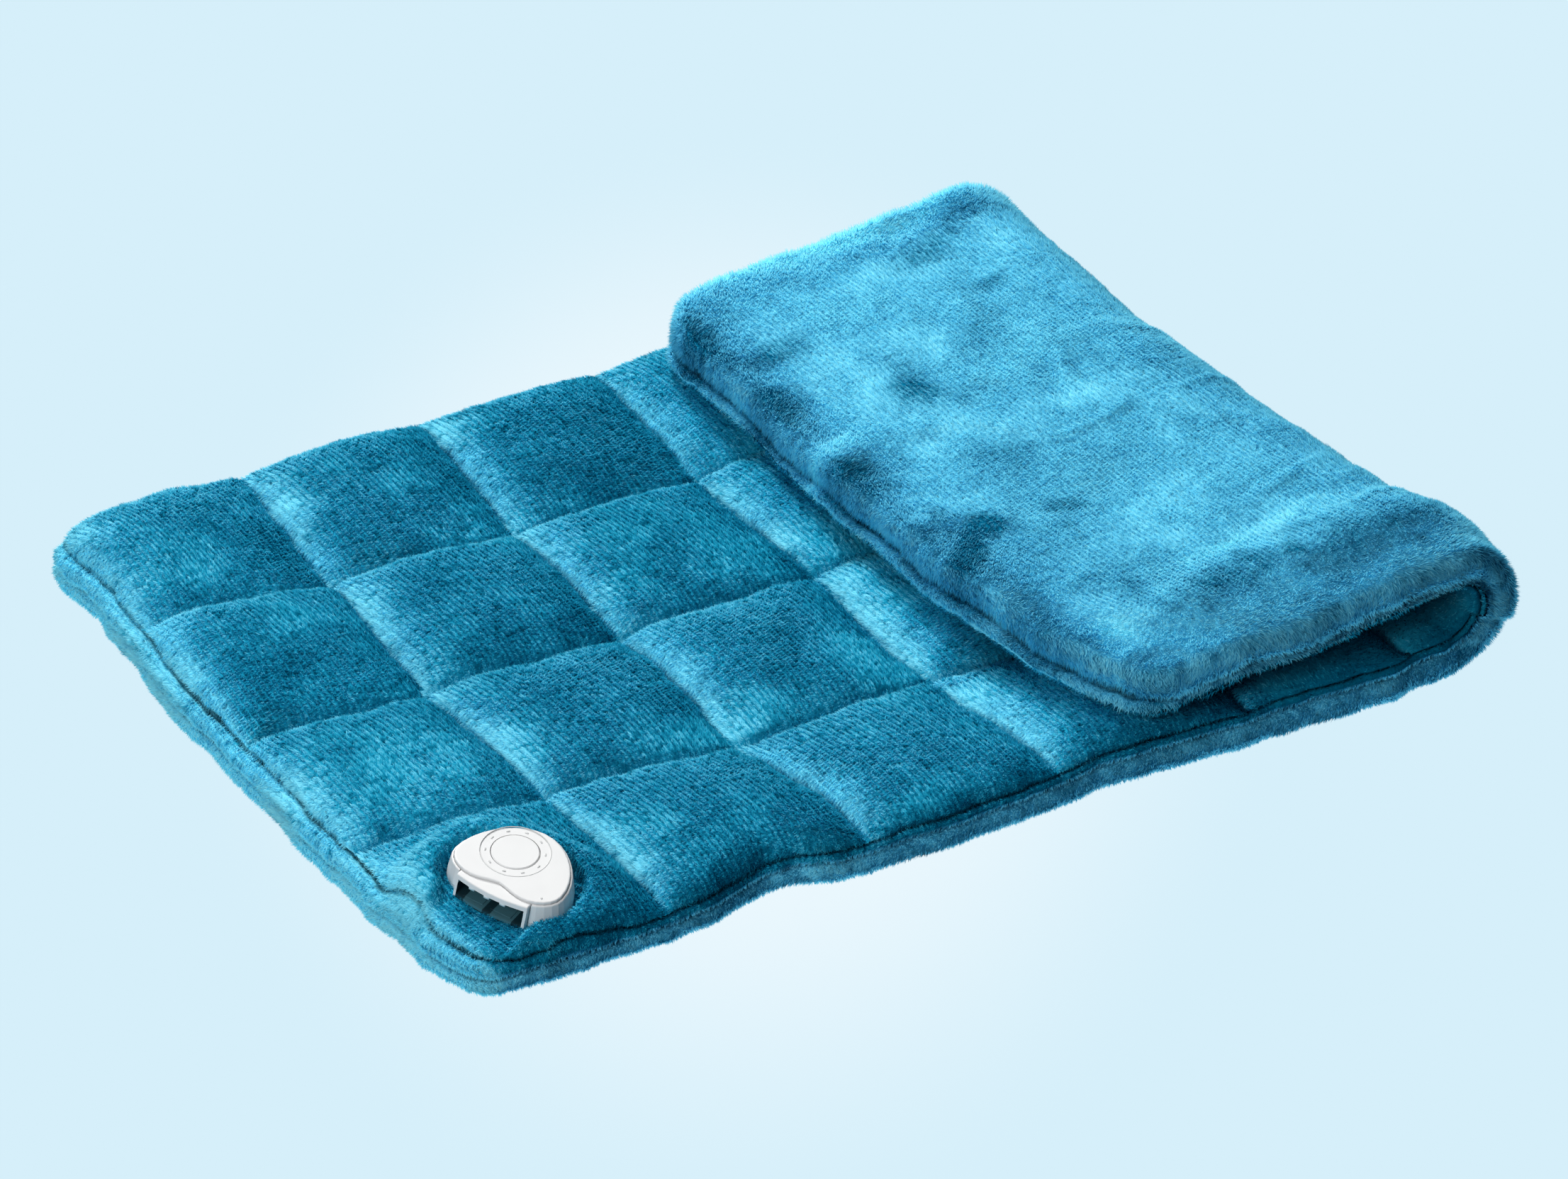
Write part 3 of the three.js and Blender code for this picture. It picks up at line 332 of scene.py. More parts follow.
def quilted_height(s, y, z):
    """Height of the quilted face over the smooth one, away from the rim.

    seam + (crown - seam) * f(s) * f(y), with wandering seams, a stitched groove along each, puckers
    beside it, soft folds and a slow unevenness from cell to cell.
    """
    columns, rows = seam_places(z)
    ws, wy = quilted_places(s, y)
    fs, fy = across_cell(ws, columns), across_cell(wy, rows)
    _, cs = cell_shares(ws, columns)
    _, cy = cell_shares(wy, rows)
    lift = np.random.default_rng(7).uniform(-1.0, 1.0, (len(columns), len(rows)))[cs, cy]
    full = (z.crown - z.seam) * (1 + CELL_SPREAD * lift) * fs * fy
    ds, dy = seam_distance(ws, columns), seam_distance(wy, rows)
    groove = COLUMN_STITCH_SHARE * hump(ds, 0.0, STITCH_HALF_WIDTH) + hump(dy, 0.0, STITCH_HALF_WIDTH)
    pucker = lumps(s * PUCKER_STRETCH_SHARE, y, PUCKER_SIZE, 5) * np.exp(-ds / PUCKER_REACH)
    pucker += lumps(s, y * PUCKER_STRETCH_SHARE, PUCKER_SIZE, 6) * np.exp(-dy / PUCKER_REACH)
    uneven = layered(s, y, QUILT_LUMPS, 8) - QUILT_FOLD_DEPTH * soft_folds(s, y, QUILT_FOLD_SIZE, 11)
    return z.seam + full - STITCH_DEPTH * groove + PUCKER_HEIGHT * pucker + uneven


# The smooth cover and the fold

SMOOTH_LUMPS = ((1.4 * MM, 50 * MM), (1.0 * MM, 22 * MM), (0.35 * MM, 10 * MM))
SMOOTH_FOLD_SIZE, SMOOTH_FOLD_RISE = 42 * MM, 1.2 * MM
CREASE_PLACE, CREASE_HALF_WIDTH, CREASE_DEPTH = 52 * MM, 7 * MM, 1.4 * MM
CREASE_WANDER, CREASE_WANDER_SIZE = 4 * MM, 40 * MM
SWELL_PLACE, SWELL_HALF_WIDTH, SWELL_RISE = 32 * MM, 15 * MM, 3.2 * MM
FOLD_STRENGTH, STRENGTH_LOSS, LOSS_ZONE = 1.1, 0.9, (460 * MM, 560 * MM)
TABLE_EDGE_ZONE = 20 * MM

FLAP_GAP = 0.6 * MM
DROOP, DROOP_SIDE, DROOP_SETS_IN = 1.6 * MM, 52 * MM, 40 * MM


def smooth_height(s, y, z):
    """How far the smooth face lies inwards: 0 on the table, and uneven round the fold and on the flap.

    A crease runs along the flap, with a swell between it and the near side. Both are deepest near the
    fold.
    """
    free = ease(s, z.flat_length - TABLE_EDGE_ZONE, z.flat_length + TABLE_EDGE_ZONE)
    uneven = layered(s, y, SMOOTH_LUMPS, 21)
    uneven = uneven - SMOOTH_FOLD_RISE * soft_folds(s, y, SMOOTH_FOLD_SIZE, 25)
    line = CREASE_PLACE + CREASE_WANDER * lumps(s, y, CREASE_WANDER_SIZE, 24)
    crease = CREASE_DEPTH * hump(y, line, CREASE_HALF_WIDTH)
    swell = SWELL_RISE * hump(y, SWELL_PLACE, SWELL_HALF_WIDTH)
    strength = FOLD_STRENGTH - STRENGTH_LOSS * ease(s, *LOSS_ZONE)
    return free * (uneven + (crease - swell) * strength)


def fold_over(s, y, n, z):
    """Places on the flat pad as they lie once the end is folded over.

    Round the fold the angle is (s - flat) / r_mid and the point is r = fold_radius - n from the fold's
    axis. Beyond it the flap runs back, sloping down to rest on the quilting.
    """
    mid = z.fold_radius - z.crown / 2
    run = seam_places(z)[0][-1] - z.flat_length - math.pi * mid - z.rim
    slope = math.asin((2 * z.fold_radius - 2 * z.crown - FLAP_GAP) / run)
    turn = math.pi + slope
    angle = np.clip((s - z.flat_length) / mid, 0.0, turn)
    past = np.maximum(0.0, s - z.flat_length - mid * turn)
    side = np.clip(np.minimum(y, z.width - y) / DROOP_SIDE, 0.0, 1.0)
    droop = DROOP * (1 - side) ** 2 * smooth(past / DROOP_SETS_IN)
    r = z.fold_radius - n - droop
    flat = np.minimum(s, z.flat_length)
    x = flat + r * np.sin(angle) + past * math.cos(turn)
    h = z.fold_radius - r * np.cos(angle) + past * math.sin(turn)
    h = np.where(s <= z.flat_length, n, h)
    return x, h


# How far each edge lies from its straight line, in millimetres outward, by the place along it. The last
# two tell how far the fold is pressed in and down.
LEFT_EDGE = (
    (0, 15, 30, 60, 90, 150, 180, 210, 240, 270, 290, 305),
    (0, 3, 6, 7.5, 5.5, 5.5, 2.3, -1, -3.5, -5.4, -3.5, -1),
)
NEAR_EDGE = (
    (0, 30, 60, 90, 100, 112, 125, 138, 165, 200, 240, 270, 300, 360, 390, 420),
    (0, 1, -0.5, -0.5, -3.5, -7, -6.5, -1, 1, 1, -2.4, -2, 1, 0.8, -4, -3.5),
)
FAR_EDGE = ((0, 15, 30, 60, 90, 130, 180, 240), (3, 3, 6.5, 8, 6, 4.5, 2, 2))
FAR_FLAP_EDGE = ((235, 250, 265, 280, 300, 400), (-13, -8, -6, -3, -2, -2))
FLAP_END = ((0, 15, 50, 105, 160, 240, 300), (5, 5, -5, -10, -8, -3, 0))
FOLD_IN = (
    (0, 20, 35, 50, 80, 110, 140, 170, 200, 230, 260, 305),
    (1.5, 2, 6, 7, 9.5, 8.5, 9, 11, 13, 12, 11, 8),
)
FOLD_DOWN = ((0, 30, 80, 200, 290, 305), (0, 0.5, 2.5, 4.5, 3, 2))

# Where each of those takes hold, as the place where it starts and the place where it is full
NEAR_HOLD, FAR_HOLD, LEFT_HOLD = (45 * MM, 0.0), (240 * MM, 300 * MM), (70 * MM, 0.0)
FOLD_IN_HOLD, FOLD_DOWN_HOLD = (250 * MM, 390 * MM), (300 * MM, 390 * MM)
FLAP_END_HOLD = (330 * MM, 250 * MM)
FACE_HOLD, HIGH_HOLD = (0.0, 10 * MM), (20 * MM, 50 * MM)
FAR_SHARE, FAR_RISE_SHARE = 0.45, 0.38
HEM_LIFT, HEM_HOLD = 2.5 * MM, (262 * MM, 232 * MM)
FLAP_STARTS_PAST = 20 * MM


def table(pair, at):
    """A table's value in metres at places given in metres."""
    return np.interp(at / MM, *pair) * MM


def settle(x, y, h, s, z):
    """The folded pad as it has settled.

    Its edges wander, the fold is pressed in and down, and the flap's end stands a little off the
    quilting.
    """
    flap = s > z.flat_length + FLAP_STARTS_PAST
    near, far = ease(y, *NEAR_HOLD), ease(y, *FAR_HOLD)
    out = table(FAR_EDGE, x)
    y2 = y - np.where(flap, 0.0, table(NEAR_EDGE, x)) * near
    y2 = y2 + np.where(flap, table(FAR_FLAP_EDGE, x), FAR_SHARE * out) * far
    h2 = h + np.where(flap, 0.0, FAR_RISE_SHARE * out * far * ease(h, *FACE_HOLD))
    h2 = h2 - table(FOLD_DOWN, y) * ease(x, *FOLD_DOWN_HOLD) * ease(h, *HIGH_HOLD)
    h2 = h2 + np.where(flap, HEM_LIFT, 0.0) * ease(x, *HEM_HOLD)
    x2 = x - table(LEFT_EDGE, y) * ease(x, *LEFT_HOLD) - table(FOLD_IN, y) * ease(x, *FOLD_IN_HOLD)
    x2 = x2 + np.where(flap, table(FLAP_END, y), 0.0) * ease(x, *FLAP_END_HOLD)
    return x2, y2, h2


# The skin's grid and its rim

GRID_STEPS, FAN_LINES = 58, 26
CROWDING_SHARE, LEAST_GRID_GAP = 0.45, 0.4 * MM
FACE_LINES, THIN_LINES, FULL_LINES, UNDER_LINES = 24, 13, 14, 7
LOOSE_FULL_LINES = 12
FACE_ANGLES, GAP_ANGLES, THIN_ANGLES, FULL_ANGLES = (86, 0), (35, 70, 90), (118, -112), (74, -90)
UNDER_SHARES = (0.86, 0.12)

# The rim's section. What grows with the thin roll is a size for each unit that the roll is fatter.
FIRST_SEAM_RISE = 3.6 * MM
FACE_INSET, FACE_INSET_GROWTH = 2.4 * MM, 2.5 * MM
GAP_WIDTH, GAP_DROP = 2.6 * MM, 1.0 * MM
THIN_INSET, THIN_DROP, THIN_STEP = 1.9 * MM, 1.0 * MM, 1.3 * MM
THIN_HALF_WIDTH, THIN_HALF_HEIGHT = 2.1 * MM, 1.35 * MM
FULL_INSET, FULL_REACH = 4.6 * MM, 4.4 * MM
LEFT_FAT, END_FAT, END_TUCK, END_ZONE = 1.1, 0.6, 3.2 * MM, 20 * MM

# How light the rim is deep down, where 1 is fully lit, and how fast that grows on the face and in the gap
FACE_LIT, GAP_LIT, THIN_LIT, FULL_LIT = 0.45, 0.3, 0.3, 0.35
FACE_LIT_GROWTH, GAP_LIT_GROWTH, LIT_BROKEN_BELOW = 3.5, 0.4, 0.9
THIN_LIT_ZONE, FULL_LIT_ZONE = (-0.3, 0.3), (1.15, 0.65)

# The rim's unevenness
SEAM_CLIMB, LEFT_SEAM_DROP = 5.0 * MM, 1.6 * MM
OUTLINE_LUMPS = ((1.6 * MM, 50 * MM), (0.9 * MM, 16 * MM))
SEAM_LUMPS, ROPE_LUMPS = ((0.7 * MM, 30 * MM),), ((0.45 * MM, 5.5 * MM),)
LEAN_LUMPS, LIT_LUMPS = ((0.45 * MM, 6 * MM),), ((0.3, 9 * MM),)
LEAN_BY_HEIGHT, LEAN_OWN = 1.3, 0.4


def denser_near_seams(seams, low, high, steps):
    """Grid lines between low and high, closer together beside each seam: u - share * sin(2 pi u) / 2 pi."""
    lines = []
    for a, b in zip(seams[:-1], seams[1:]):
        u = np.arange(steps) / steps
        lines.append(a + (b - a) * (u - CROWDING_SHARE * np.sin(2 * math.pi * u) / (2 * math.pi)))
    lines = np.concatenate(lines)
    lines = lines[(lines > low + LEAST_GRID_GAP) & (lines < high - LEAST_GRID_GAP)]
    return np.concatenate([[low], lines, [high]])


def corner_reach(way, corner, radius, rim):
    """How far the outline is from a corner of the inner rectangle, in the direction of way.

    On the two straight sides it is rim / cos or rim / sin. Between them it is where the ray meets the
    corner's arc: t = m(a + b) + sqrt(m^2 (a + b)^2 - 2 m^2 + r^2), with m = rim - r.
    """
    a, b = np.abs(np.cos(way)), np.abs(np.sin(way))
    m = rim - radius
    arc = m * (a + b) + np.sqrt(np.maximum(m * m * (a + b) ** 2 - 2 * m * m + radius * radius, 0.0))
    big = np.maximum(a, b)
    small = np.minimum(a, b)
    on_side = rim * (1 - small / big) >= radius
    return np.where(corner >= 0, np.where(on_side, rim / big, arc), rim)


def rim_profile(reach, seam, fat, tuck):
    """The rim's section from the quilted side to the smooth side, as lines of (out, height, own, lit,
    quilted, loose).

    Out is measured from the inner rectangle, own is the share of the quilted face's height, lit is 0
    deep in a groove, quilted tells the cover, and loose lines are uneven by themselves. The quilted
    face is a quarter ellipse down to a first seam, a thin roll lies between it and the edge seam, and
    a full roll of the smooth cover turns under. Fat is how many times thicker than that the thin roll
    is, and tuck is how far the smooth roll is drawn in.
    """
    first = seam + FIRST_SEAM_RISE * fat
    edge = reach - FACE_INSET - FACE_INSET_GROWTH * (fat - 1)
    lines = []
    for a in np.radians(np.linspace(*FACE_ANGLES, FACE_LINES)):
        own = math.sin(a)
        lit = min(1.0, FACE_LIT + FACE_LIT_GROWTH * own)
        lines.append((edge * math.cos(a), first * (1 - own), own, lit, True, own < LEAN_OWN))
    for a in np.radians(GAP_ANGLES):
        out = edge - GAP_WIDTH / fat * (1 - math.cos(a))
        lit = GAP_LIT + GAP_LIT_GROWTH * (fat - 1)
        lines.append((out, first - GAP_DROP * math.sin(a) * fat, 0.0, lit, True, True))
    for k, a in enumerate(np.radians(np.linspace(*THIN_ANGLES, THIN_LINES))):
        lit = THIN_LIT + (1 - THIN_LIT) * ease(math.cos(a), *THIN_LIT_ZONE)
        out = reach - THIN_INSET - THIN_STEP * fat + THIN_HALF_WIDTH * fat * math.cos(a)
        height = first - THIN_DROP - THIN_STEP * fat + THIN_HALF_HEIGHT * fat * math.sin(a)
        lines.append((out, height, 0.0, lit, k <= THIN_LINES // 2, True))
    for k, a in enumerate(np.radians(np.linspace(*FULL_ANGLES, FULL_LINES))):
        lit = FULL_LIT + (1 - FULL_LIT) * ease(math.sin(a), *FULL_LIT_ZONE)
        out = reach - tuck - FULL_INSET + FULL_REACH * math.cos(a)
        lines.append((out, seam / 2 * (1 + math.sin(a)), 0.0, lit, False, k < LOOSE_FULL_LINES))
    for share in np.linspace(*UNDER_SHARES, UNDER_LINES):
        lines.append(((reach - tuck - FULL_INSET) * share, 0.0 * seam, 0.0, 1.0, False, False))
    return lines


def build_pad(z, steps):
    """The pad's mesh as one closed skin: two faces on one grid, and a rim round both.

    The grid covers the rectangle inside the rim. The rim's lines leave it at right angles, and fan out
    at its corners.
    """
    columns, rows = seam_places(z)
    total = columns[-1]
    gs = denser_near_seams(columns, z.rim, total - z.rim, steps)
    gy = denser_near_seams(rows, z.rim, z.width - z.rim, steps)
    ns, ny = len(gs), len(gy)
    inner = np.arange(ns * ny).reshape(ns, ny)
    loop, way, corner = [], [], []
    sides = ((inner[:, 0], 270), (inner[-1, :], 0), (inner[::-1, -1], 90), (inner[0, ::-1], 180))
    radii = np.array([z.corner_near_end, z.corner_far, z.corner_far, z.corner_near])
    for k, (line, angle) in enumerate(sides):
        loop += [line, np.full(FAN_LINES - 1, line[-1])]
        way += [np.full(len(line), angle, float), np.arange(1, FAN_LINES) / FAN_LINES * 90 + angle]
        corner += [np.full(len(line), -1), np.full(FAN_LINES - 1, k)]
    loop, way, corner = np.concatenate(loop), np.radians(np.concatenate(way)), np.concatenate(corner)
    S, Y = (g.ravel() for g in np.meshgrid(gs, gy, indexing="ij"))
    bs, by = S[loop], Y[loop]
    ex, ey = np.cos(way), np.sin(way)
    count = len(loop)

    reach = corner_reach(way, corner, radii[corner], z.rim)
    out_s, out_y = bs + ex * reach, by + ey * reach
    reach = reach + layered(out_s, out_y, OUTLINE_LUMPS, 31)
    left, end = ease(out_s, END_ZONE, 0.0), ease(out_s, total - END_ZONE, total)
    seam = z.edge_seam + SEAM_CLIMB * smooth(out_s / z.flat_length) - LEFT_SEAM_DROP * left
    seam = seam + layered(out_s, out_y, SEAM_LUMPS, 33)
    rope = layered(out_s, out_y, ROPE_LUMPS, 34)
    broken = layered(out_s, out_y, LIT_LUMPS, 36)

    ones = np.ones(len(S))
    parts = [(S, Y, quilted_height(S, Y, z), ones, ones), (S, Y, smooth_height(S, Y, z), -ones, ones)]
    profile = rim_profile(reach, seam, 1 + LEFT_FAT * left + END_FAT * end, END_TUCK * end)
    for k, (out, n, own, lit, quilted, loose) in enumerate(profile):
        s, y = bs + ex * out, by + ey * out
        n = n + (own * quilted_height(s, y, z) if own else 0.0)
        if not quilted:
            n = n + smooth_height(s, y, z)
        if loose:
            up = n * LEAN_BY_HEIGHT
            lean = rope + layered(out_s + up, out_y - up, LEAN_LUMPS, 35 + k // FACE_LINES)
            s, y = s + ex * lean, y + ey * lean
        # Painted shade in the rim's grooves, broken up by lumps
        lit = np.clip(lit + broken * (lit < LIT_BROKEN_BELOW), 0.0, 1.0)
        parts.append((s, y, n, np.full(count, 1.0 if quilted else -1.0), lit * np.ones(count)))
    s, y, n, side, lit = (np.concatenate(p) for p in zip(*parts))

    grid = np.stack([inner[:-1, :-1], inner[1:, :-1], inner[1:, 1:], inner[:-1, 1:]], -1).reshape(-1, 4)
    quads, triangles = [grid, grid[:, ::-1] + ns * ny], []
    first = 2 * ns * ny
    rings = [loop] + [first + k * count + np.arange(count) for k in range(len(profile))] + [loop + ns * ny]
    for a, b in zip(rings[:-1], rings[1:]):
        a2, b2 = np.roll(a, -1), np.roll(b, -1)
        triangles.append(np.stack([a, b, b2], -1)[a == a2])
        triangles.append(np.stack([a, b, a2], -1)[(b == b2) & (a != a2)])
        quads.append(np.stack([a, b, b2, a2], -1)[(a != a2) & (b != b2)])
    return s, y, n, side, lit, np.concatenate(quads), np.concatenate(triangles)


# The seat pressed under the housing, by the housing's own axes. Off is 1 on the housing's outline.
SEAT_LEVEL, SEAT_POWER = -9.6 * MM, 2.5
SEAT_HALF_WIDTH, SEAT_HALF_DEPTH, SEAT_SET_BACK = 21.3 * MM, 16.8 * MM, 2 * MM
MOUTH_HALF_WIDTH, MOUTH_START, MOUTH_BLEND = 16.5 * MM, -11 * MM, 3 * MM
COLLAR, MOUTH_COLLAR = 5.2 * MM, 0.9 * MM
COLLAR_STARTS, HIGH_REACH, LOW_REACH = 1.1, 1.7, 0.75
SEAT_EDGE = (0.96, 1.06)
SEAT_ABOVE = (6 * MM, 11 * MM)


def press_seat(s, y, n, side, z):
    """The quilted face pressed level under the housing, with the plush standing up round its foot.

    Off is the distance from the housing's middle in its own plane, (|x / a|^p + |y / b|^p)^(1 / p). The
    plush round it is low before the mouth, so that the socket stays open.
    """
    x, across = s - z.flat_length / 2, y - z.width / 2
    flat = np.stack([x - HOUSING_MIDDLE[0], across - HOUSING_MIDDLE[1], 0.0 * x], -1)
    lx, ly = flat @ HOUSING_AXES[0], flat @ HOUSING_AXES[1]
    wide, deep = np.abs(lx / SEAT_HALF_WIDTH), np.abs((ly + SEAT_SET_BACK) / SEAT_HALF_DEPTH)
    off = (wide ** SEAT_POWER + deep ** SEAT_POWER) ** (1 / SEAT_POWER)
    mouth = smooth((MOUTH_HALF_WIDTH - np.abs(lx)) / MOUTH_BLEND) * smooth((MOUTH_START - ly) / MOUTH_BLEND)
    collar = COLLAR * (1 - mouth) + MOUTH_COLLAR * mouth
    seat = housing_plane(x, across, SEAT_LEVEL)
    change = seat + collar - n
    near = 1 - smooth((off - COLLAR_STARTS) / np.where(change < 0, HIGH_REACH, LOW_REACH))
    beside = n + change * near
    pressed = seat + (beside - seat) * ease(off, *SEAT_EDGE)
    return n + (pressed - n) * (side > 0) * ease(n, *SEAT_ABOVE)


def displace(obj, amount):
    """Moves each vertex along its normal by its amount, and gives the places and normals."""
    mesh = obj.data
    count = len(mesh.vertices)
    co, normal = np.empty(count * 3, np.float32), np.empty(count * 3, np.float32)
    mesh.vertices.foreach_get("co", co)
    mesh.vertex_normals.foreach_get("vector", normal)
    co, normal = co.reshape(-1, 3), normal.reshape(-1, 3)
    co = co + normal * np.asarray(amount, np.float32)[:, None]
    mesh.vertices.foreach_set("co", co.ravel())
    mesh.update()
    return co, normal


# The pile's tone, with painted light and shade

# Where the flap's pile is brushed down or up, with painted light and shade along its crease and far
# edge among them: place on the table, half length and half width in millimetres, turn in degrees,
# and how much darker or lighter.
BRUSHED_AND_PAINTED_LIGHT = (
    (268, 248, 13, 6, 20, -0.40), (244, 262, 10, 16, 0, -0.30), (292, 193, 8, 11, 0, -0.45),
    (355, 238, 7, 6, 0, -0.30), (342, 273, 12, 8, 30, -0.25), (373, 284, 13, 6, 0, -0.25),
    (328, 213, 7, 5, 40, -0.20), (240, 167, 12, 9, 0, -0.35), (247, 215, 15, 11, 20, -0.28),
    (296, 142, 9, 6, 0, -0.20), (368, 158, 8, 5, 0, -0.14), (250, 95, 16, 6, 70, -0.55),
    (287, 108, 9, 6, -30, -0.30), (268, 90, 13, 11, 0, -0.16), (275, 43, 8, 8, 0, -0.32),
    (312, 28, 17, 9, 10, -0.28), (366, 26, 24, 12, 0, -0.30), (233, 52, 8, 14, 0, -0.30),
    (245, 182, 9, 5, 20, 0.35), (325, 195, 25, 18, 0, 0.14), (262, 28, 8, 9, 0, 0.32),
    (240, 66, 6, 5, 0, 0.28), (342, 53, 34, 3, 5, 0.25), (335, 158, 12, 9, 0, 0.18),
    (325, 297, 45, 7, 3, 0.25), (300, 255, 22, 12, 0, 0.14), (238, 236, 5, 12, 10, 0.25),
)
BRUSHED_STRENGTH, BRUSHED_POWER, BRUSHED_FALL = 1.05, 1.3, 0.7

# Painted light and shade: the pile is painted lighter on slopes that face this way, to the left and a
# little to the far side, and darker on slopes that face away, but not right beside the housing
LIGHT_SIDE = np.array([-0.9, 0.35, 0.0])
HOUSING_SHADE = (18 * MM, 38 * MM)
PATCH_SHIFT, PATCH_SHIFT_SIZE = 10 * MM, 25 * MM
PATCHES, FINE_PATCHES = ((0.5, 70 * MM), (0.35, 28 * MM)), ((0.25, 10 * MM),)
RAGGED = ((1.0, 12 * MM), (0.6, 5 * MM))

# A painted highlight in a strip to the right of each column seam, and the places of the other painted
# light and shade and of the rope's twists
STRIP_WIDTH, STRIP_LUMPS, LEFT_STRIP_SHARE = 20 * MM, ((6 * MM, 20 * MM), (3 * MM, 6 * MM)), 1.3
STRIP_START = 2 * MM
BEFORE_SEAM, INSIDE_FOLD = (0.72, 1.0), (270 * MM, 310 * MM)
TWIST_SIZE, TWIST_DEPTH = 2.2 * MM, 1.4
LEFT_ROPE, NEAR_ROPE, NEAR_ROPE_START = (12 * MM, 0.0), (10.4 * MM, 2.4 * MM), (10 * MM, 30 * MM)
HEM_ZONE, END_SHADE = (6 * MM, 2 * MM), (26 * MM, 6 * MM)

# The pile's lightness on each cover, and how much each effect changes it. The slopes, the strips, the
# rope, the hem and the darker zones are painted light and shade; the patches are the pile's own.
QUILTED_NAP, QUILTED_PATCHES, QUILTED_SLOPE, QUILTED_STRIP = 0.43, 0.17, 0.30, 0.40
SMOOTH_NAP, SMOOTH_PATCHES, SMOOTH_SLOPE, END_PAINTED_SHADE = 0.66, 0.16, 0.25, 0.25
BEFORE_SEAM_PAINTED_SHADE, INSIDE_FOLD_PAINTED_SHADE, INSIDE_STRIP_LOSS, STRIP_SEAM_SHARE = 0.08, 0.05, 0.6, 0.6
ROPE_PAINTED_HIGHLIGHT, NEAR_SIDE_PAINTED_SHADE, HEM_PAINTED_HIGHLIGHT = 0.5, 0.15, 0.9
FINE_STRETCH_SHARE, BLOT_SHIFT_SHARE, RAGGED_DEPTH, LEAST_RAGGED = 1.6, 0.5, 0.9, 0.3


def nap_and_painted_light(s, y, side, place, normal, z):
    """How light the pile looks, 0 to 1.

    It is brushed in patches. On top of that, light and shade are painted in: lighter where a slope
    faces left, most of all on the slope to the right of each column seam, and darker before each column
    seam, inside the fold, on the near side and towards the flap's end. The rope along the left edge and
    the hem at the flap's end carry a painted highlight, twisted light and dark.
    """
    columns, rows = seam_places(z)
    from_housing = np.linalg.norm((place - HOUSING_MIDDLE)[:, :2], axis=1)
    # Painted light and shade by which way a slope faces
    painted_slope_shading = normal @ LIGHT_SIDE * ease(from_housing, *HOUSING_SHADE)
    s2 = s + PATCH_SHIFT * lumps(s, y, PATCH_SHIFT_SIZE, 57)
    y2 = y + PATCH_SHIFT * lumps(s, y, PATCH_SHIFT_SIZE, 58)
    patches = layered(s2, y2, PATCHES, 51) + layered(s2, y2 * FINE_STRETCH_SHARE, FINE_PATCHES, 53)
    ws, wy = quilted_places(s, y)
    share_s, column = cell_shares(ws, columns)
    share_y, _ = cell_shares(wy, rows)
    after = ws - columns[column]
    # Painted highlight on the slope to the right of each column seam, weaker inside the fold
    wide = (STRIP_WIDTH + layered(s, y, STRIP_LUMPS, 59)) * np.where(column == 0, LEFT_STRIP_SHARE, 1.0)
    painted_seam_highlight = (1 - smooth(after / wide)) * smooth(after / STRIP_START)
    painted_seam_highlight = painted_seam_highlight * (STRIP_SEAM_SHARE + (1 - STRIP_SEAM_SHARE) * np.sin(math.pi * share_y))
    # Painted shade before each column seam and inside the fold
    before, inside = ease(share_s, *BEFORE_SEAM), ease(s, *INSIDE_FOLD)
    to_end = columns[-1] - s
    along, up = place[:, 0] + place[:, 2], place[:, 1] - place[:, 2]
    # Painted highlight on the rope along the left edge and the hem at the flap's end, twisted light and dark
    twist = 1 + TWIST_DEPTH * lumps(along, up, TWIST_SIZE, 54)
    rope = ROPE_PAINTED_HIGHLIGHT * ease(s, *LEFT_ROPE) * twist
    # Painted shade on the near side
    rope = rope - NEAR_SIDE_PAINTED_SHADE * ease(y, *NEAR_ROPE) * ease(s, *NEAR_ROPE_START)
    hem = HEM_PAINTED_HIGHLIGHT * ease(to_end, *HEM_ZONE) * twist
    quilted = QUILTED_NAP + QUILTED_PATCHES * patches + QUILTED_SLOPE * painted_slope_shading
    quilted = quilted + QUILTED_STRIP * painted_seam_highlight * (1 - INSIDE_STRIP_LOSS * inside)
    quilted = quilted - BEFORE_SEAM_PAINTED_SHADE * before - INSIDE_FOLD_PAINTED_SHADE * inside + rope + hem
    plain = SMOOTH_NAP + SMOOTH_PATCHES * patches + SMOOTH_SLOPE * painted_slope_shading
    # Painted shade on the smooth face towards the flap's end
    plain = plain - END_PAINTED_SHADE * ease(to_end, *END_SHADE) + rope
    x = place[:, 0] + z.flat_length / 2 + BLOT_SHIFT_SHARE * (s2 - s)
    across = place[:, 1] + z.width / 2 + BLOT_SHIFT_SHARE * (y2 - y)
    flap = (s > z.flat_length) & (side < 0)
    ragged = np.maximum(LEAST_RAGGED, 1 + RAGGED_DEPTH * layered(s, y, RAGGED, 55))
    # Brushed patches on the flap; a few are painted light and shade along the crease and the far edge
    for middle_x, middle_y, half_length, half_width, turn, change in BRUSHED_AND_PAINTED_LIGHT:
        c, d = math.cos(math.radians(turn)), math.sin(math.radians(turn))
        dx, dy = x / MM - middle_x, across / MM - middle_y
        far = ((dx * c + dy * d) / half_length) ** 2 + ((dy * c - dx * d) / half_width) ** 2
        blot = np.exp(-((far * ragged) ** BRUSHED_POWER) * BRUSHED_FALL)
        plain = plain + np.where(flap, BRUSHED_STRENGTH * change * blot, 0.0)
    return np.clip(np.where(side > 0, quilted, plain), 0.0, 1.0)


def add_values(mesh, name, values):
    """Adds a number for each point of the mesh, which its material reads by name."""
    mark = mesh.attributes.new(name, "FLOAT", "POINT")
    mark.data.foreach_set("value", np.asarray(values, np.float32))


def bend_with_fold(obj):
    """Bakes the piece's transform into its mesh."""
    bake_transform(obj)


# The pile

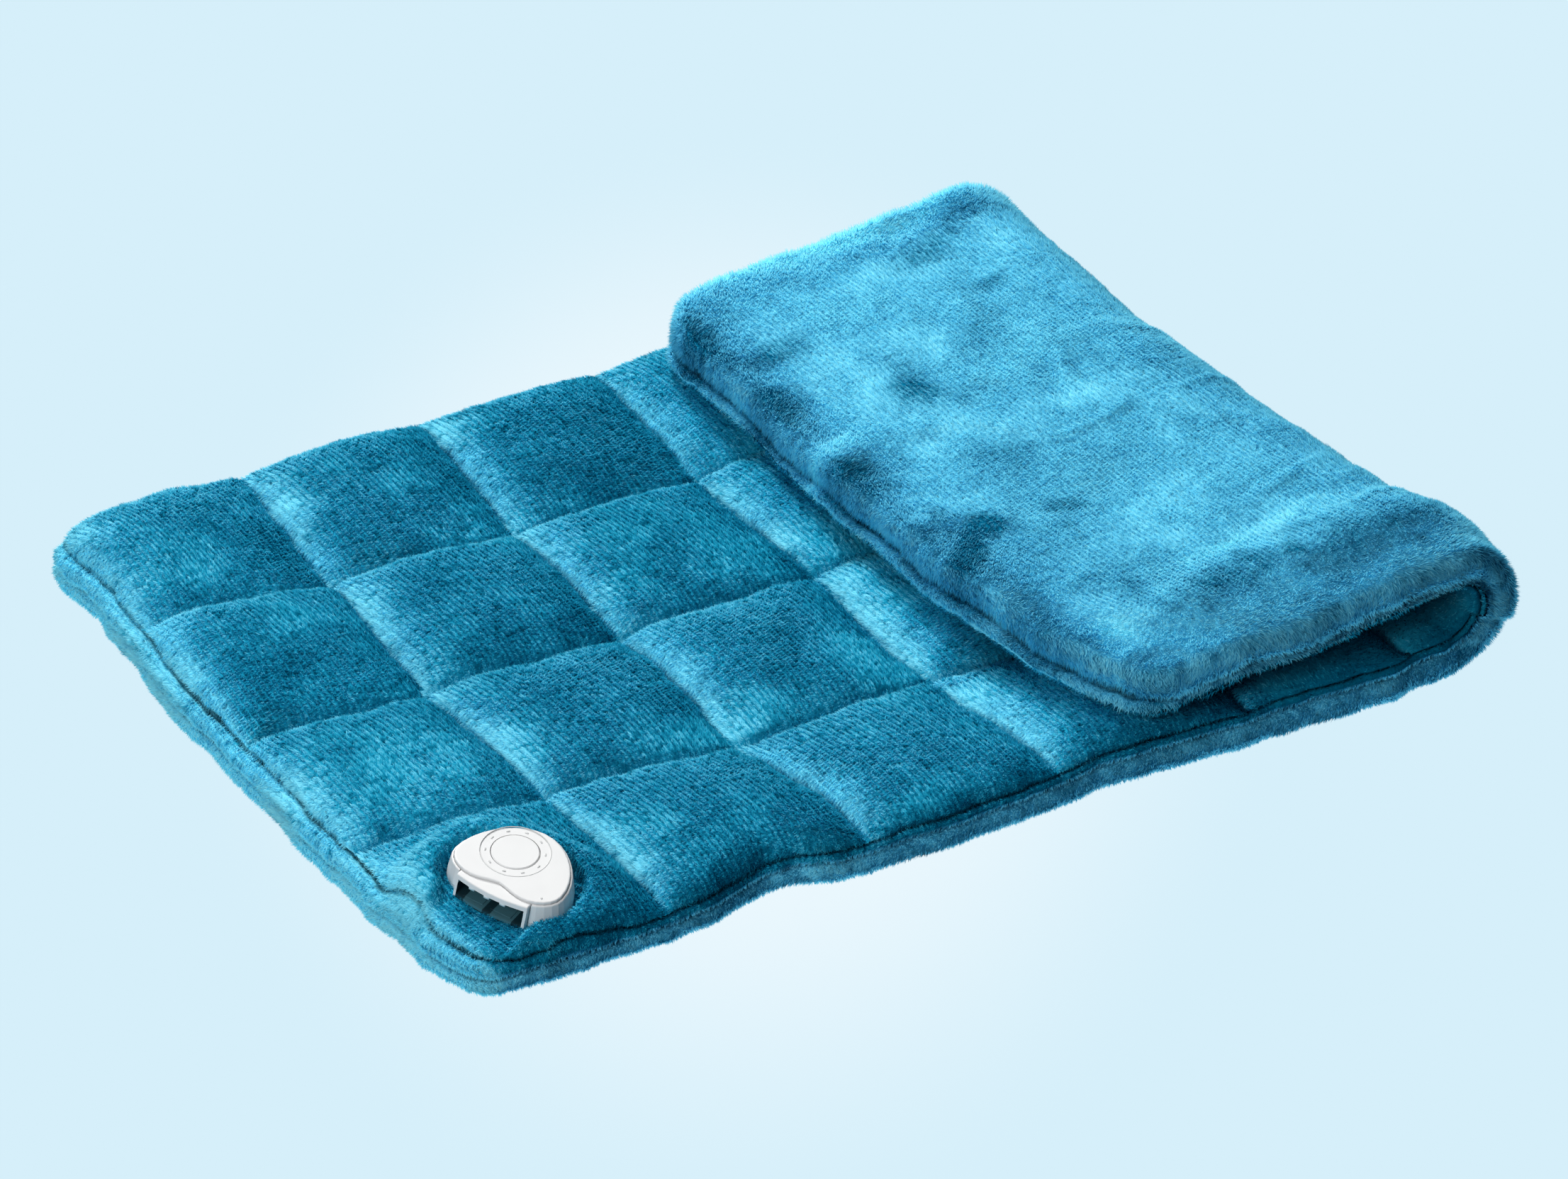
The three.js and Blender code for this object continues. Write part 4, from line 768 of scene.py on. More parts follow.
TUFTS, QUICK_TUFTS = 190000, 30000
BASE_PILE_ENDS, FLAP_PILE_ENDS = (-1.0, 0.07, 0.14, 0.215, 0.31), (0.31, 0.44, 1.0)
INSIDE_STARTS, BARE_BELOW = 0.31, 0.4 * MM
LEAN_TURN, LEAN_TURN_LUMPS, LEAN_CHANCE = 3.6, ((1.1, 35 * MM), (0.7, 12 * MM)), 0.35
FUR_TURN, FUR_TURN_LUMPS, FUR_CHANCE = 4.4, ((0.5, 20 * MM),), 0.2
FUR_ZONE, FUR_RIM_ZONE, FUR_GROWTH = 20 * MM, (36 * MM, 6 * MM), 0.9
KNOT_CHANCE, KNOT_TONE, DARK_KNOT_SHARE = (12.99, 39.12, 4375.85), 0.22, 0.12
SMOOTH_KNOT_SHARE, KNOT_PULL, ROOT_DEPTH, TONE_CHANCE = 0.5, 0.75, 0.2 * MM, 0.09
TUFT_HEIGHTS, TUFT_LEANS, GROOVE_TUFT_SHARE, TUFT_TWIST = (0.7, 1.15), (0.7, 1.5), 0.4, 0.35
SHADE_LEAN, SHADE_CHANCE = 0.22, 0.12
# How near to a tuft's tip each point is, for painted shade at the roots and painted light at the tips
ROOT_TIP, TUFT_TIP, SKIN_TIP = 0.2, 1.0, 0.1
FUZZ = ((0.5, 2.3 * MM), (0.5, 4.5 * MM))
# Painted shade in the crease inside the fold
FOLD_CREASE_PAINTED_SHADE, INNER_DARK_PAST, INNER_DARK_HALF_WIDTH = 0.35, 16 * MM, 22 * MM


def plant(corners, place, rng, count):
    """Random roots on triangles: indices of their triangles and shares of the three corners."""
    edge = np.cross(place[corners[:, 1]] - place[corners[:, 0]], place[corners[:, 2]] - place[corners[:, 0]])
    area = np.linalg.norm(edge, axis=1)
    chosen = np.searchsorted(np.cumsum(area) / area.sum(), rng.random(count))
    u, v = rng.random(count), rng.random(count)
    flip = u + v > 1
    u, v = np.where(flip, 1 - u, u), np.where(flip, 1 - v, v)
    return np.minimum(chosen, len(corners) - 1), np.stack([1 - u - v, u, v], -1)


def unit(rows):
    """Each row divided by its length."""
    return rows / (np.linalg.norm(rows, axis=1)[:, None] + 1e-6)


def build_pile(name, corners, skin, z, count, seed, material):
    """Short tufts of plush lying on some triangles of the skin.

    Each tuft is one narrow triangle, flat side out: it rises a little and leans the way the pile is
    brushed, and its tip is drawn to the middle of its knot in the knitted rows. Each knot is a little
    lighter or darker, by chance. The tufts take the skin's tone with its painted light and shade. The
    normals are the skin's, tipped along the lean, so the tufts take the light as the pile does. They are
    shorter deep in a groove, and longer round the flap's rim.
    """
    rng = np.random.default_rng(seed)
    chosen, weights = plant(corners, skin["co"], rng, count)
    at = corners[chosen]
    root, normal, s, y, side, tone, lit = (
        np.einsum("ij,ij...->i...", weights, skin[key][at])
        for key in ("co", "normal", "s", "y", "side", "nap_and_painted_light", "lit")
    )
    normal = unit(normal)
    along_s = np.cross([0.0, 1.0, 0.0], normal) * np.sign(side)[:, None]
    columns, rows = seam_places(z)
    to_rim = np.minimum(np.minimum(y, rows[-1] - y), columns[-1] - s)
    fur = (side < 0) * smooth((s - z.flat_length) / FUR_ZONE) * ease(to_rim, *FUR_RIM_ZONE)
    turn = LEAN_TURN + layered(s, y, LEAN_TURN_LUMPS, 61) + rng.normal(0, LEAN_CHANCE, count)
    fur_turn = FUR_TURN + layered(s, y, FUR_TURN_LUMPS, 63) + rng.normal(0, FUR_CHANCE, count)
    turn = turn * (1 - fur) + fur * fur_turn
    lean = np.stack([np.cos(turn), np.sin(turn), 0 * turn], -1)
    lean = unit(lean - normal * np.einsum("ij,ij->i", lean, normal)[:, None])
    row, knot = z.row_pitch, z.knot_pitch
    line = np.round(s / row)
    half_step = 0.5 * (line % 2)
    off_s = line * row - s
    off_y = (np.round(y / knot + half_step) - half_step) * knot - y
    by_line, by_knot, spread = KNOT_CHANCE
    chance = (np.sin(line * by_line + np.round((y + off_y) / knot * 2) * by_knot) * spread) % 1.0
    change = KNOT_TONE * (chance - 0.5) - KNOT_TONE * (chance < DARK_KNOT_SHARE)
    tone = tone + change * np.where(side < 0, SMOOTH_KNOT_SHARE, 1.0)
    pull = along_s * off_s[:, None] + np.array([0.0, 1.0, 0.0]) * off_y[:, None]
    tall = z.pile_height * rng.uniform(*TUFT_HEIGHTS, count) * (1 + FUR_GROWTH * fur)
    tall = tall * (GROOVE_TUFT_SHARE + (1 - GROOVE_TUFT_SHARE) * lit)
    rise = unit(normal + lean * rng.uniform(*TUFT_LEANS, count)[:, None])
    across = np.cross(lean, normal) + TUFT_TWIST * rng.normal(size=(count, 3))
    across *= np.sign(np.einsum("ij,ij->i", np.cross(across, rise), normal))[:, None]
    across = unit(across) * z.pile_width / 2
    tip = root + rise * tall[:, None] + KNOT_PULL * pull * (1 - fur)[:, None]
    low = root - normal * ROOT_DEPTH
    points = np.stack([low - across, low + across, tip], 1)
    points[..., 2] = np.maximum(points[..., 2], 0.0)
    obj = new_mesh(name, points.reshape(-1, 3), (), np.arange(count)[:, None] * 3 + [0, 1, 2])
    mesh = obj.data
    shaded = unit(normal + SHADE_LEAN * lean + SHADE_CHANCE * rng.normal(size=(count, 3)))
    mesh.normals_split_custom_set_from_vertices(np.repeat(shaded, 3, axis=0).astype(np.float32))
    tone = np.clip(tone + rng.normal(0, TONE_CHANCE, count), 0, 1)
    add_values(mesh, "smooth_side", np.repeat(side < 0, 3))
    add_values(mesh, "nap_and_painted_light", np.repeat(tone, 3))
    add_values(mesh, "tip", np.tile([ROOT_TIP, ROOT_TIP, TUFT_TIP], count))
    add_values(mesh, "lit", np.repeat(lit, 3))
    mesh.materials.append(material)
    bend_with_fold(obj)
    return obj


class HEATPAD_OT_pad(bpy.types.Operator):
    """Build the plush pad: quilted face, smooth face, rolled rim and pile, folded over at one end"""

    bl_idname = "heatpad.pad"
    bl_label = "Build Pad"

    def execute(self, context):
        z = sizes()
        s, y, n, side, lit, quads, triangles = build_pad(z, GRID_STEPS)
        n = press_seat(s, y, n, side, z)
        x, h = fold_over(s, y, n, z)
        x, across, h = settle(x, y, h, s, z)
        points = np.stack([x - z.flat_length / 2, across - z.width / 2, np.maximum(h, 0.0)], -1)
        obj = new_mesh("plush_pad", points, quads, triangles)
        on_table = (side < 0) & (s < z.flat_length)
        co, normal = displace(obj, np.where(on_table, 0.0, z.unevenness * layered(s, y, FUZZ, 41)))
        uv = obj.data.uv_layers.new(name="flat")
        index = np.empty(len(obj.data.loops), np.int32)
        obj.data.loops.foreach_get("vertex_index", index)
        uv.data.foreach_set("uv", np.stack([s, y], -1)[index].astype(np.float32).ravel())
        tone = nap_and_painted_light(s, y, side, co, normal, z)
        # Painted shade in the crease inside the fold, on the quilted face
        inside_fold = hump(s, z.flat_length + INNER_DARK_PAST, INNER_DARK_HALF_WIDTH)
        lit = np.where((side > 0) & (lit > 0.9), 1 - FOLD_CREASE_PAINTED_SHADE * inside_fold, lit)
        add_values(obj.data, "smooth_side", side < 0)
        add_values(obj.data, "nap_and_painted_light", tone)
        add_values(obj.data, "tip", np.full(len(tone), SKIN_TIP))
        add_values(obj.data, "lit", lit)
        obj.data.materials.append(plush_material("plush", False))
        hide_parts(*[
            f"{layer}_{zone}" for layer in ("quilted_cover", "filling", "element_sheet", "back_cover")
            for zone in ("base", "fold", "flap")
        ], "heating_wire_fold_1", "heating_wire_fold_2", "heating_wire_flap")
        bend_with_fold(obj)
        skin = {
            "co": co.astype(float), "normal": normal.astype(float), "s": s, "y": y, "side": side,
            "nap_and_painted_light": tone, "lit": lit,
        }
        self.plant_all(skin, np.concatenate([quads[:, [0, 1, 2]], quads[:, [0, 2, 3]], triangles]), z)
        return {"FINISHED"}

    def plant_all(self, skin, corners, z):
        """Plants the pile piece by piece: on the base, on the flap, and on the inside of the fold."""
        at = skin["s"][corners].mean(1)
        under = skin["side"][corners].mean(1) < 0
        shown = ~(under & (at < z.flat_length) & (skin["co"][corners, 2].max(1) < BARE_BELOW))
        hidden = ~under & (at > INSIDE_STARTS)
        pile = plush_material("pile", True)
        count = TUFTS
        for k, (low, high) in enumerate(zip(BASE_PILE_ENDS[:-1], BASE_PILE_ENDS[1:])):
            zone = corners[shown & (at >= low) & (at < high)]
            build_pile(f"pile_base_{k + 1}", zone, skin, z, count, 71 + k, pile)
        for k, (low, high) in enumerate(zip(FLAP_PILE_ENDS[:-1], FLAP_PILE_ENDS[1:])):
            zone = corners[shown & ~hidden & (at >= low) & (at < high)]
            build_pile(f"pile_flap_{k + 1}", zone, skin, z, count, 75 + k, pile)
        build_pile("pile_inside", corners[hidden], skin, z, count // 2, 77, pile)


# Materials


class Graph:
    """A node tree with short calls to add and join nodes."""

    def __init__(self, tree):
        self.tree = tree

    def add(self, kind, **values):
        """Adds a node; values are its properties, or inputs by name where it has no such property."""
        node = self.tree.nodes.new(kind)
        for key, value in values.items():
            if hasattr(node, key):
                setattr(node, key, value)
                continue
            self.join(value, node.inputs[key.replace("_", " ")])
        return node

    def join(self, value, socket):
        """Links a socket, or sets a constant."""
        if isinstance(value, bpy.types.NodeSocket):
            self.tree.links.new(value, socket)
        else:
            socket.default_value = value

    def math(self, operation, a, b=0.0, clamp=False):
        """What a Math node makes of one or two values."""
        node = self.add("ShaderNodeMath", operation=operation, use_clamp=clamp)
        self.join(a, node.inputs[0])
        self.join(b, node.inputs[1])
        return node.outputs[0]

    def mix(self, factor, a, b):
        """A colour between a and b."""
        node = self.add("ShaderNodeMix", data_type="RGBA")
        self.join(factor, node.inputs[0])
        self.join(a, node.inputs[6])
        self.join(b, node.inputs[7])
        return node.outputs[2]

    def spread(self, value, low, high, to_low=0.0, to_high=1.0):
        """value between low and high as a share from to_low to to_high."""
        node = self.add("ShaderNodeMapRange", interpolation_type="SMOOTHSTEP")
        for k, v in enumerate((value, low, high, to_low, to_high)):
            self.join(v, node.inputs[k])
        return node.outputs[0]

    def ramp(self, value, stops):
        """A colour by value, through stops of (place, colour)."""
        node = self.add("ShaderNodeValToRGB")
        marks = node.color_ramp.elements
        while len(marks) < len(stops):
            marks.new(0.5)
        for mark, (place, tint) in zip(marks, stops):
            mark.position = place
            mark.color = rgba(tint)
        self.join(value, node.inputs[0])
        return node.outputs[0]

    def noise(self, vector, scale, detail=2.0, roughness=0.5):
        """Soft noise from 0 to 1, scale times per metre."""
        node = self.add("ShaderNodeTexNoise", Vector=vector, Scale=scale, Detail=detail, Roughness=roughness)
        return node.outputs["Fac"]


def rgba(c):
    """The colour with full opacity."""
    return (c[0], c[1], c[2], 1.0)


def new_material(name):
    """A material and the graph and Principled node in it."""
    material = bpy.data.materials.new(name)
    material.use_nodes = True
    graph = Graph(material.node_tree)
    return material, graph, material.node_tree.nodes["Principled BSDF"]


# The plush: its knit and fuzz as noise per metre, and how they, the roots and the tips change its tone:
# the roots take painted shade and the tips painted light
KNIT_TURN, KNIT_SCALE, FUZZ_SCALE = 0.6, (240.0, 620.0, 300.0), 1100.0
FUZZ_SHARE, GRAIN_TONE, ROOT_PAINTED_SHADE, TIP_PAINTED_LIGHT = 0.45, 0.12, -0.22, 0.14
QUILTED_MIDDLE, SMOOTH_MIDDLE = 0.45, 0.5


def plush_colour_group():
    """Node group: the plush's colour and grain.

    The colour follows the pile's tone, with its painted light and shade, and the side. It has painted
    shade towards a tuft's root and painted light towards its tip, and painted shade deep in a groove.
    """
    look = looks()
    tree = bpy.data.node_groups.new("plush_colour", "ShaderNodeTree")
    for name in ("Nap And Painted Light", "Smooth Side", "Tip", "Lit"):
        tree.interface.new_socket(name, in_out="INPUT", socket_type="NodeSocketFloat")
    tree.interface.new_socket("Color", in_out="OUTPUT", socket_type="NodeSocketColor")
    tree.interface.new_socket("Grain", in_out="OUTPUT", socket_type="NodeSocketFloat")
    g = Graph(tree)
    given = g.add("NodeGroupInput")
    place = g.add("ShaderNodeTexCoord").outputs["Object"]
    turned = g.add("ShaderNodeMapping", Vector=place, Rotation=(0.0, 0.0, KNIT_TURN), Scale=KNIT_SCALE)
    rows = g.noise(turned.outputs[0], 1.0, 1.5, 0.5)
    fuzz = g.noise(place, FUZZ_SCALE, 2.0, 0.6)
    grain = g.math("ADD", g.math("MULTIPLY", fuzz, FUZZ_SHARE), g.math("MULTIPLY", rows, 1 - FUZZ_SHARE))
    tone = g.math("ADD", given.outputs["Nap And Painted Light"], g.spread(grain, 0.3, 0.7, -GRAIN_TONE, GRAIN_TONE))
    # Painted shade at the roots and painted light at the tips
    tone = g.math("ADD", tone, g.spread(given.outputs["Tip"], 0.0, 1.0, ROOT_PAINTED_SHADE, TIP_PAINTED_LIGHT), clamp=True)
    quilted, plain = (
        g.ramp(tone, ((0.0, dark), (place_, middle), (1.0, light)))
        for dark, place_, middle, light in (
            (look.quilted_dark, QUILTED_MIDDLE, look.quilted_middle, look.quilted_light),
            (look.smooth_dark, SMOOTH_MIDDLE, look.smooth_middle, look.smooth_light),
        )
    )
    out = g.add("NodeGroupOutput")
    shown = g.mix(given.outputs["Smooth Side"], quilted, plain)
    # Painted shade deep in the grooves
    g.join(g.mix(given.outputs["Lit"], rgba(look.painted_groove_shade), shown), out.inputs["Color"])
    g.join(grain, out.inputs["Grain"])
    return tree


def plush_material(name, tufts):
    """Micro plush: pile brushed in patches, painted shade at the roots under painted light at the tips, knit
    rows and a soft sheen.

    A tuft's normals are the skin's, so its back lets through the light that falls on its front.
    """
    material, g, shader = new_material(name)
    tree = bpy.data.node_groups.get("plush_colour") or plush_colour_group()
    group = g.add("ShaderNodeGroup", node_tree=tree)
    for key, value in (("nap_and_painted_light", "Nap And Painted Light"), ("smooth_side", "Smooth Side"), ("tip", "Tip"), ("lit", "Lit")):
        g.join(g.add("ShaderNodeAttribute", attribute_name=key).outputs["Fac"], group.inputs[value])
    g.join(group.outputs["Color"], shader.inputs["Base Color"])
    shader.inputs["Roughness"].default_value = 0.9
    shader.inputs["Specular IOR Level"].default_value = 0.0
    shader.inputs["Sheen Weight"].default_value = 0.12
    shader.inputs["Sheen Roughness"].default_value = 0.4
    shader.inputs["Sheen Tint"].default_value = (0.02, 0.7, 1.0, 1.0)
    if not tufts:
        bump = g.add("ShaderNodeBump", Strength=0.8, Distance=0.0012, Height=group.outputs["Grain"])
        g.join(bump.outputs[0], shader.inputs["Normal"])
        return material
    passing = g.add("ShaderNodeBsdfTranslucent", Color=group.outputs["Color"])
    both = g.add("ShaderNodeMixShader")
    g.join(g.add("ShaderNodeNewGeometry").outputs["Backfacing"], both.inputs[0])
    g.join(shader.outputs[0], both.inputs[1])
    g.join(passing.outputs[0], both.inputs[2])
    g.join(both.outputs[0], material.node_tree.nodes["Material Output"].inputs["Surface"])
    return material


def plastic_parts(name, base, roughness):
    """Moulded plastic, with a faint grain and slightly uneven gloss: material, graph and shader."""
    material, g, shader = new_material(name)
    place = g.add("ShaderNodeTexCoord").outputs["Object"]
    uneven = g.noise(place, 160.0, 3.0)
    g.join(g.mix(g.math("MULTIPLY", uneven, 0.1), rgba(base), rgba([c * 0.8 for c in base])),
           shader.inputs["Base Color"])
    g.join(g.spread(uneven, 0.3, 0.7, roughness - 0.04, roughness + 0.06), shader.inputs["Roughness"])
    bump = g.add("ShaderNodeBump", Strength=0.15, Distance=0.0001, Height=g.noise(place, 2600.0, 2.0))
    g.join(bump.outputs[0], shader.inputs["Normal"])
    return material, g, shader


def plastic_material(name, base, roughness):
    """Moulded plastic of one colour."""
    return plastic_parts(name, base, roughness)[0]


# The inside of the socket, in the housing's own frame: its half width and mouth, how high its painted
# shade reaches on the wall before and behind the lip's face, and the middle, half width and height of
# its two lands
SOCKET_HALF_WIDTH, SOCKET_MOUTH = 12.45 * MM, -10.3 * MM
LIP_FACE, DARK_BEFORE_LIP, DARK_BEHIND_LIP = -16.6 * MM, -4.0 * MM, -2.6 * MM
LAND_MIDDLE, LAND_HALF_WIDTH, LAND_LEVEL = 5.3 * MM, 3.8 * MM, -9.0 * MM


def housing_material(name):
    """White plastic, with painted shade inside the socket, a little lighter on its two lands."""
    material, g, shader = plastic_parts(name, looks().housing, 0.38)
    place = g.add("ShaderNodeTexCoord").outputs["Object"]
    moved = g.add("ShaderNodeVectorMath", operation="SUBTRACT")
    g.join(place, moved.inputs[0])
    moved.inputs[1].default_value = HOUSING_MIDDLE
    local = []
    for axis in HOUSING_AXES:
        dot = g.add("ShaderNodeVectorMath", operation="DOT_PRODUCT")
        g.join(moved.outputs[0], dot.inputs[0])
        dot.inputs[1].default_value = axis
        local.append(dot.outputs["Value"])
    x, y, z = local
    # Where the socket's inside takes painted shade
    wide = g.math("ABSOLUTE", x)
    between = g.math("LESS_THAN", wide, SOCKET_HALF_WIDTH)
    ahead = g.math("LESS_THAN", y, SOCKET_MOUTH)
    low = g.math("LESS_THAN", z, DARK_BEFORE_LIP)
    deep = g.math("GREATER_THAN", y, LIP_FACE)
    under = g.math("LESS_THAN", z, DARK_BEHIND_LIP)
    dark_level = g.math("MULTIPLY", under, g.math("MAXIMUM", low, deep))
    inside = g.math("MULTIPLY", g.math("MULTIPLY", between, ahead), dark_level)
    off_land = g.math("ABSOLUTE", g.math("SUBTRACT", wide, LAND_MIDDLE))
    land = g.math("LESS_THAN", off_land, LAND_HALF_WIDTH)
    land = g.math("MULTIPLY", land, g.math("GREATER_THAN", z, LAND_LEVEL))
    dark = g.mix(land, rgba(looks().socket), rgba(looks().socket_land))
    white = shader.inputs["Base Color"].links[0].from_socket
    g.join(g.mix(inside, white, dark), shader.inputs["Base Color"])
    return material


def metal_material(name, base, roughness):
    """Plated metal with fine turning marks."""
    material, g, shader = new_material(name)
    place = g.add("ShaderNodeTexCoord").outputs["Object"]
    shader.inputs["Base Color"].default_value = rgba(base)
    shader.inputs["Metallic"].default_value = 1.0
    marks = g.noise(place, 900.0, 3.0)
    g.join(g.spread(marks, 0.3, 0.7, roughness, roughness + 0.15), shader.inputs["Roughness"])
    return material


FINISHES = {
    "white_plastic": lambda: housing_material("white_plastic"),
    "dark_plastic": lambda: plastic_material("dark_plastic", (0.02, 0.024, 0.026), 0.45),
    "board_green": lambda: plastic_material("board_green", (0.01, 0.11, 0.04), 0.35),
    "wire_sleeve": lambda: plastic_material("wire_sleeve", (0.8, 0.75, 0.6), 0.5),
    "contact_brass": lambda: metal_material("contact_brass", (0.78, 0.55, 0.2), 0.25),
    "steel": lambda: metal_material("steel", (0.55, 0.56, 0.57), 0.3),
}


class HEATPAD_OT_finishes(bpy.types.Operator):
    """Give the housing's pieces, the wires and the contacts their finishes"""

    bl_idname = "heatpad.finishes"
    bl_label = "Apply Finishes"

    def execute(self, context):
        made = {name: make() for name, make in FINISHES.items()}
        for part in frame["record"]["subparts"]:
            node = frame["nodes"][part["node"]]
            if part["material_slot"] in made:
                node.data.materials.clear()
                node.data.materials.append(made[part["material_slot"]])
        return {"FINISHED"}


# The marks on the crown, in the housing's own frame
TICKS, TICK_START, TICK_CIRCLE = 10, -7.5, 9.75 * MM
TICK_LENGTH, TICK_WIDTH, TICK_HEIGHT, TICK_SINK = 1.3 * MM, 0.55 * MM, 0.2 * MM, 0.25 * MM
DISC_MIDDLE = np.array([-3.3, 0.0, 0.0]) * MM
PIP_MIDDLE = np.array([15.1, -13.3, 0.0]) * MM
PIP_LENGTH, PIP_WIDTH, PIP_HEIGHT = 0.75 * MM, 0.7 * MM, 0.2 * MM
LINE_CIRCLE, LINE_WIDTH, LINE_HEIGHT = 11.6 * MM, 0.3 * MM, 0.12 * MM
BAR_SIDES, LINE_SIDES, MARK_ROOT = 20, 96, 0.1 * MM


def rounded_bar(middle, along, long_, wide, high):
    """A small bar with round ends in the housing's frame: rings of points, and its faces.

    Each ring is a circle of the bar's width, its two halves moved apart by (long - wide) / 2. The top
    ring is drawn in to 0.8 of the others.
    """
    turn = np.linspace(0, 2 * math.pi, BAR_SIDES, endpoint=False)
    apart = np.sign(np.cos(turn)) * (long_ - wide) / 2
    flat = np.stack([np.cos(turn) * wide / 2 + apart, np.sin(turn) * wide / 2], -1)
    across = np.array([-along[1], along[0]])
    rings = []
    for grow, level in ((1.0, -MARK_ROOT), (1.0, high * 0.6), (0.8, high)):
        ring = flat * grow
        plan = middle[:2] + ring[:, :1] * along + ring[:, 1:] * across
        rings.append(np.concatenate([plan, np.full((BAR_SIDES, 1), middle[2] + level)], 1))
    k = np.arange(BAR_SIDES)
    after = (k + 1) % BAR_SIDES
    quads = [np.stack([k, after, after + BAR_SIDES, k + BAR_SIDES], -1) + BAR_SIDES * r for r in (0, 1)]
    fan = np.arange(BAR_SIDES - 2)
    top = np.stack([0 * fan, 1 + fan, 2 + fan], -1) + 2 * BAR_SIDES
    bottom = np.stack([0 * fan, 2 + fan, 1 + fan], -1)
    return np.concatenate(rings), np.concatenate(quads), np.concatenate([top, bottom])


def thin_ring(middle, radius, wide, high):
    """A low ring with a rounded top in the housing's frame: its section carried round a circle."""
    turn = np.linspace(0, 2 * math.pi, LINE_SIDES, endpoint=False)
    section = ((-0.5, -0.5), (-0.4, 0.6), (0.0, 1.0), (0.4, 0.6), (0.5, -0.5))
    rings = []
    for out, up in section:
        reach = radius + out * wide
        circle = np.stack([np.cos(turn) * reach, np.sin(turn) * reach, np.full(LINE_SIDES, up * high)], -1)
        rings.append(middle + circle)
    k, count = np.arange(LINE_SIDES), len(section)
    after = (k + 1) % LINE_SIDES
    quads = []
    for r in range(count):
        here, beside = LINE_SIDES * r, LINE_SIDES * ((r + 1) % count)
        quads.append(np.stack([k + here, k + beside, after + beside, after + here], -1))
    return np.concatenate(rings), np.concatenate(quads), np.empty((0, 3), int)


class HEATPAD_OT_marks(bpy.types.Operator):
    """Set the ring of ten raised ticks round the button, the line round them, and the pip beside it"""

    bl_idname = "heatpad.marks"
    bl_label = "Build Marks"

    def execute(self, context):
        shapes = []
        for k in range(TICKS):
            a = math.radians(TICK_START + 360 / TICKS * k)
            out = np.array([math.cos(a), math.sin(a)])
            at = DISC_MIDDLE + np.array([*(out * TICK_CIRCLE), -TICK_SINK])
            shapes.append(rounded_bar(at, np.array([-out[1], out[0]]), TICK_LENGTH, TICK_WIDTH, TICK_HEIGHT))
        shapes.append(rounded_bar(PIP_MIDDLE, np.array([1.0, 0.0]), PIP_LENGTH, PIP_WIDTH, PIP_HEIGHT))
        shapes.append(thin_ring(DISC_MIDDLE, LINE_CIRCLE, LINE_WIDTH, LINE_HEIGHT))
        points, quads, triangles, first = [], [], [], 0
        for places, fours, threes in shapes:
            points.append(places)
            quads.append(fours + first)
            triangles.append(threes + first)
            first += len(places)
        points, quads, triangles = (np.concatenate(rows) for rows in (points, quads, triangles))
        obj = new_mesh("crown_marks", on_housing(points), quads, triangles)
        obj.data.materials.append(plastic_material("marks", looks().marks, 0.45))
        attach(obj, "pad_base")
        return {"FINISHED"}


# The socket's teeth, in the housing's own frame. The lip's face bows out by LIP_BOW in its middle.
TEETH, TOOTH_OFFSET, TOOTH_SPACING = 3, -1.1 * MM, 5.9 * MM
TOOTH_HALF_LOW, TOOTH_HALF_HIGH = 0.95 * MM, 1.05 * MM
TOOTH_LOW, TOOTH_HIGH, TOOTH_BACK = -3.95 * MM, -2.6 * MM, -18 * MM
LIP_END, LIP_BOW, LIP_HALF_WIDTH = -18.85 * MM, 1.6 * MM, 12.4 * MM


class HEATPAD_OT_teeth(bpy.types.Operator):
    """Carry the socket's three teeth forward to the face of the bowed lip"""

    bl_idname = "heatpad.teeth"
    bl_label = "Build Teeth"

    def execute(self, context):
        points, quads = [], []
        faces = np.array([
            [0, 3, 2, 1], [4, 5, 6, 7], [0, 1, 5, 4], [1, 2, 6, 5], [2, 3, 7, 6], [3, 0, 4, 7],
        ])
        for k in range(TEETH):
            middle = TOOTH_OFFSET + (k - (TEETH - 1) / 2) * TOOTH_SPACING
            front = LIP_END - LIP_BOW * (1 - (middle / LIP_HALF_WIDTH) ** 2)
            for level, half in ((TOOTH_LOW, TOOTH_HALF_LOW), (TOOTH_HIGH, TOOTH_HALF_HIGH)):
                left, right = middle - half, middle + half
                points += [
                    (left, front, level), (right, front, level),
                    (right, TOOTH_BACK, level), (left, TOOTH_BACK, level),
                ]
            quads.append(faces + 8 * k)
        obj = new_mesh("lip_teeth", on_housing(points), np.concatenate(quads))
        obj.data.materials.append(bpy.data.materials["white_plastic"])
        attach(obj, "pad_base")
        return {"FINISHED"}


# The studio

PHOTO_WIDTH = 2212
CAMERA_FOCAL = 12434.49
CAMERA_AZIMUTH, CAMERA_ELEVATION, CAMERA_ROLL = -33.29, 31.20, 1.52
CAMERA_DISTANCE = 2.99475
CAMERA_TARGET = (206.44 * MM - PAD_MIDDLE[0], 145.11 * MM - PAD_MIDDLE[1], 15 * MM)
SENSOR_WIDTH = 36.0

# Each lamp's name, place, size, power and tint
LAMPS = (
    ("key", (0.35, 1.75, 2.1), 0.4, 56.0, (1.0, 1.0, 0.98)),
    ("fill", (-2.2, -0.9, 1.3), 1.2, 32.0, (0.97, 0.99, 1.0)),
    ("top", (-0.3, 0.3, 2.4), 1.2, 15.0, (0.98, 0.99, 1.0)),
)
SKY_COLOUR, SKY_STRENGTH = (0.8, 0.9, 1.0), 0.2
FLOOR_HALF_WIDTH, FLOOR_DROP, FLOOR_COLOUR = 4.0, 1.2 * MM, (0.12, 0.16, 0.19)
# Where the backdrop's painted pool of light is full and where it has faded
GLOW_INNER, GLOW_OUTER = 60 * MM, 190 * MM


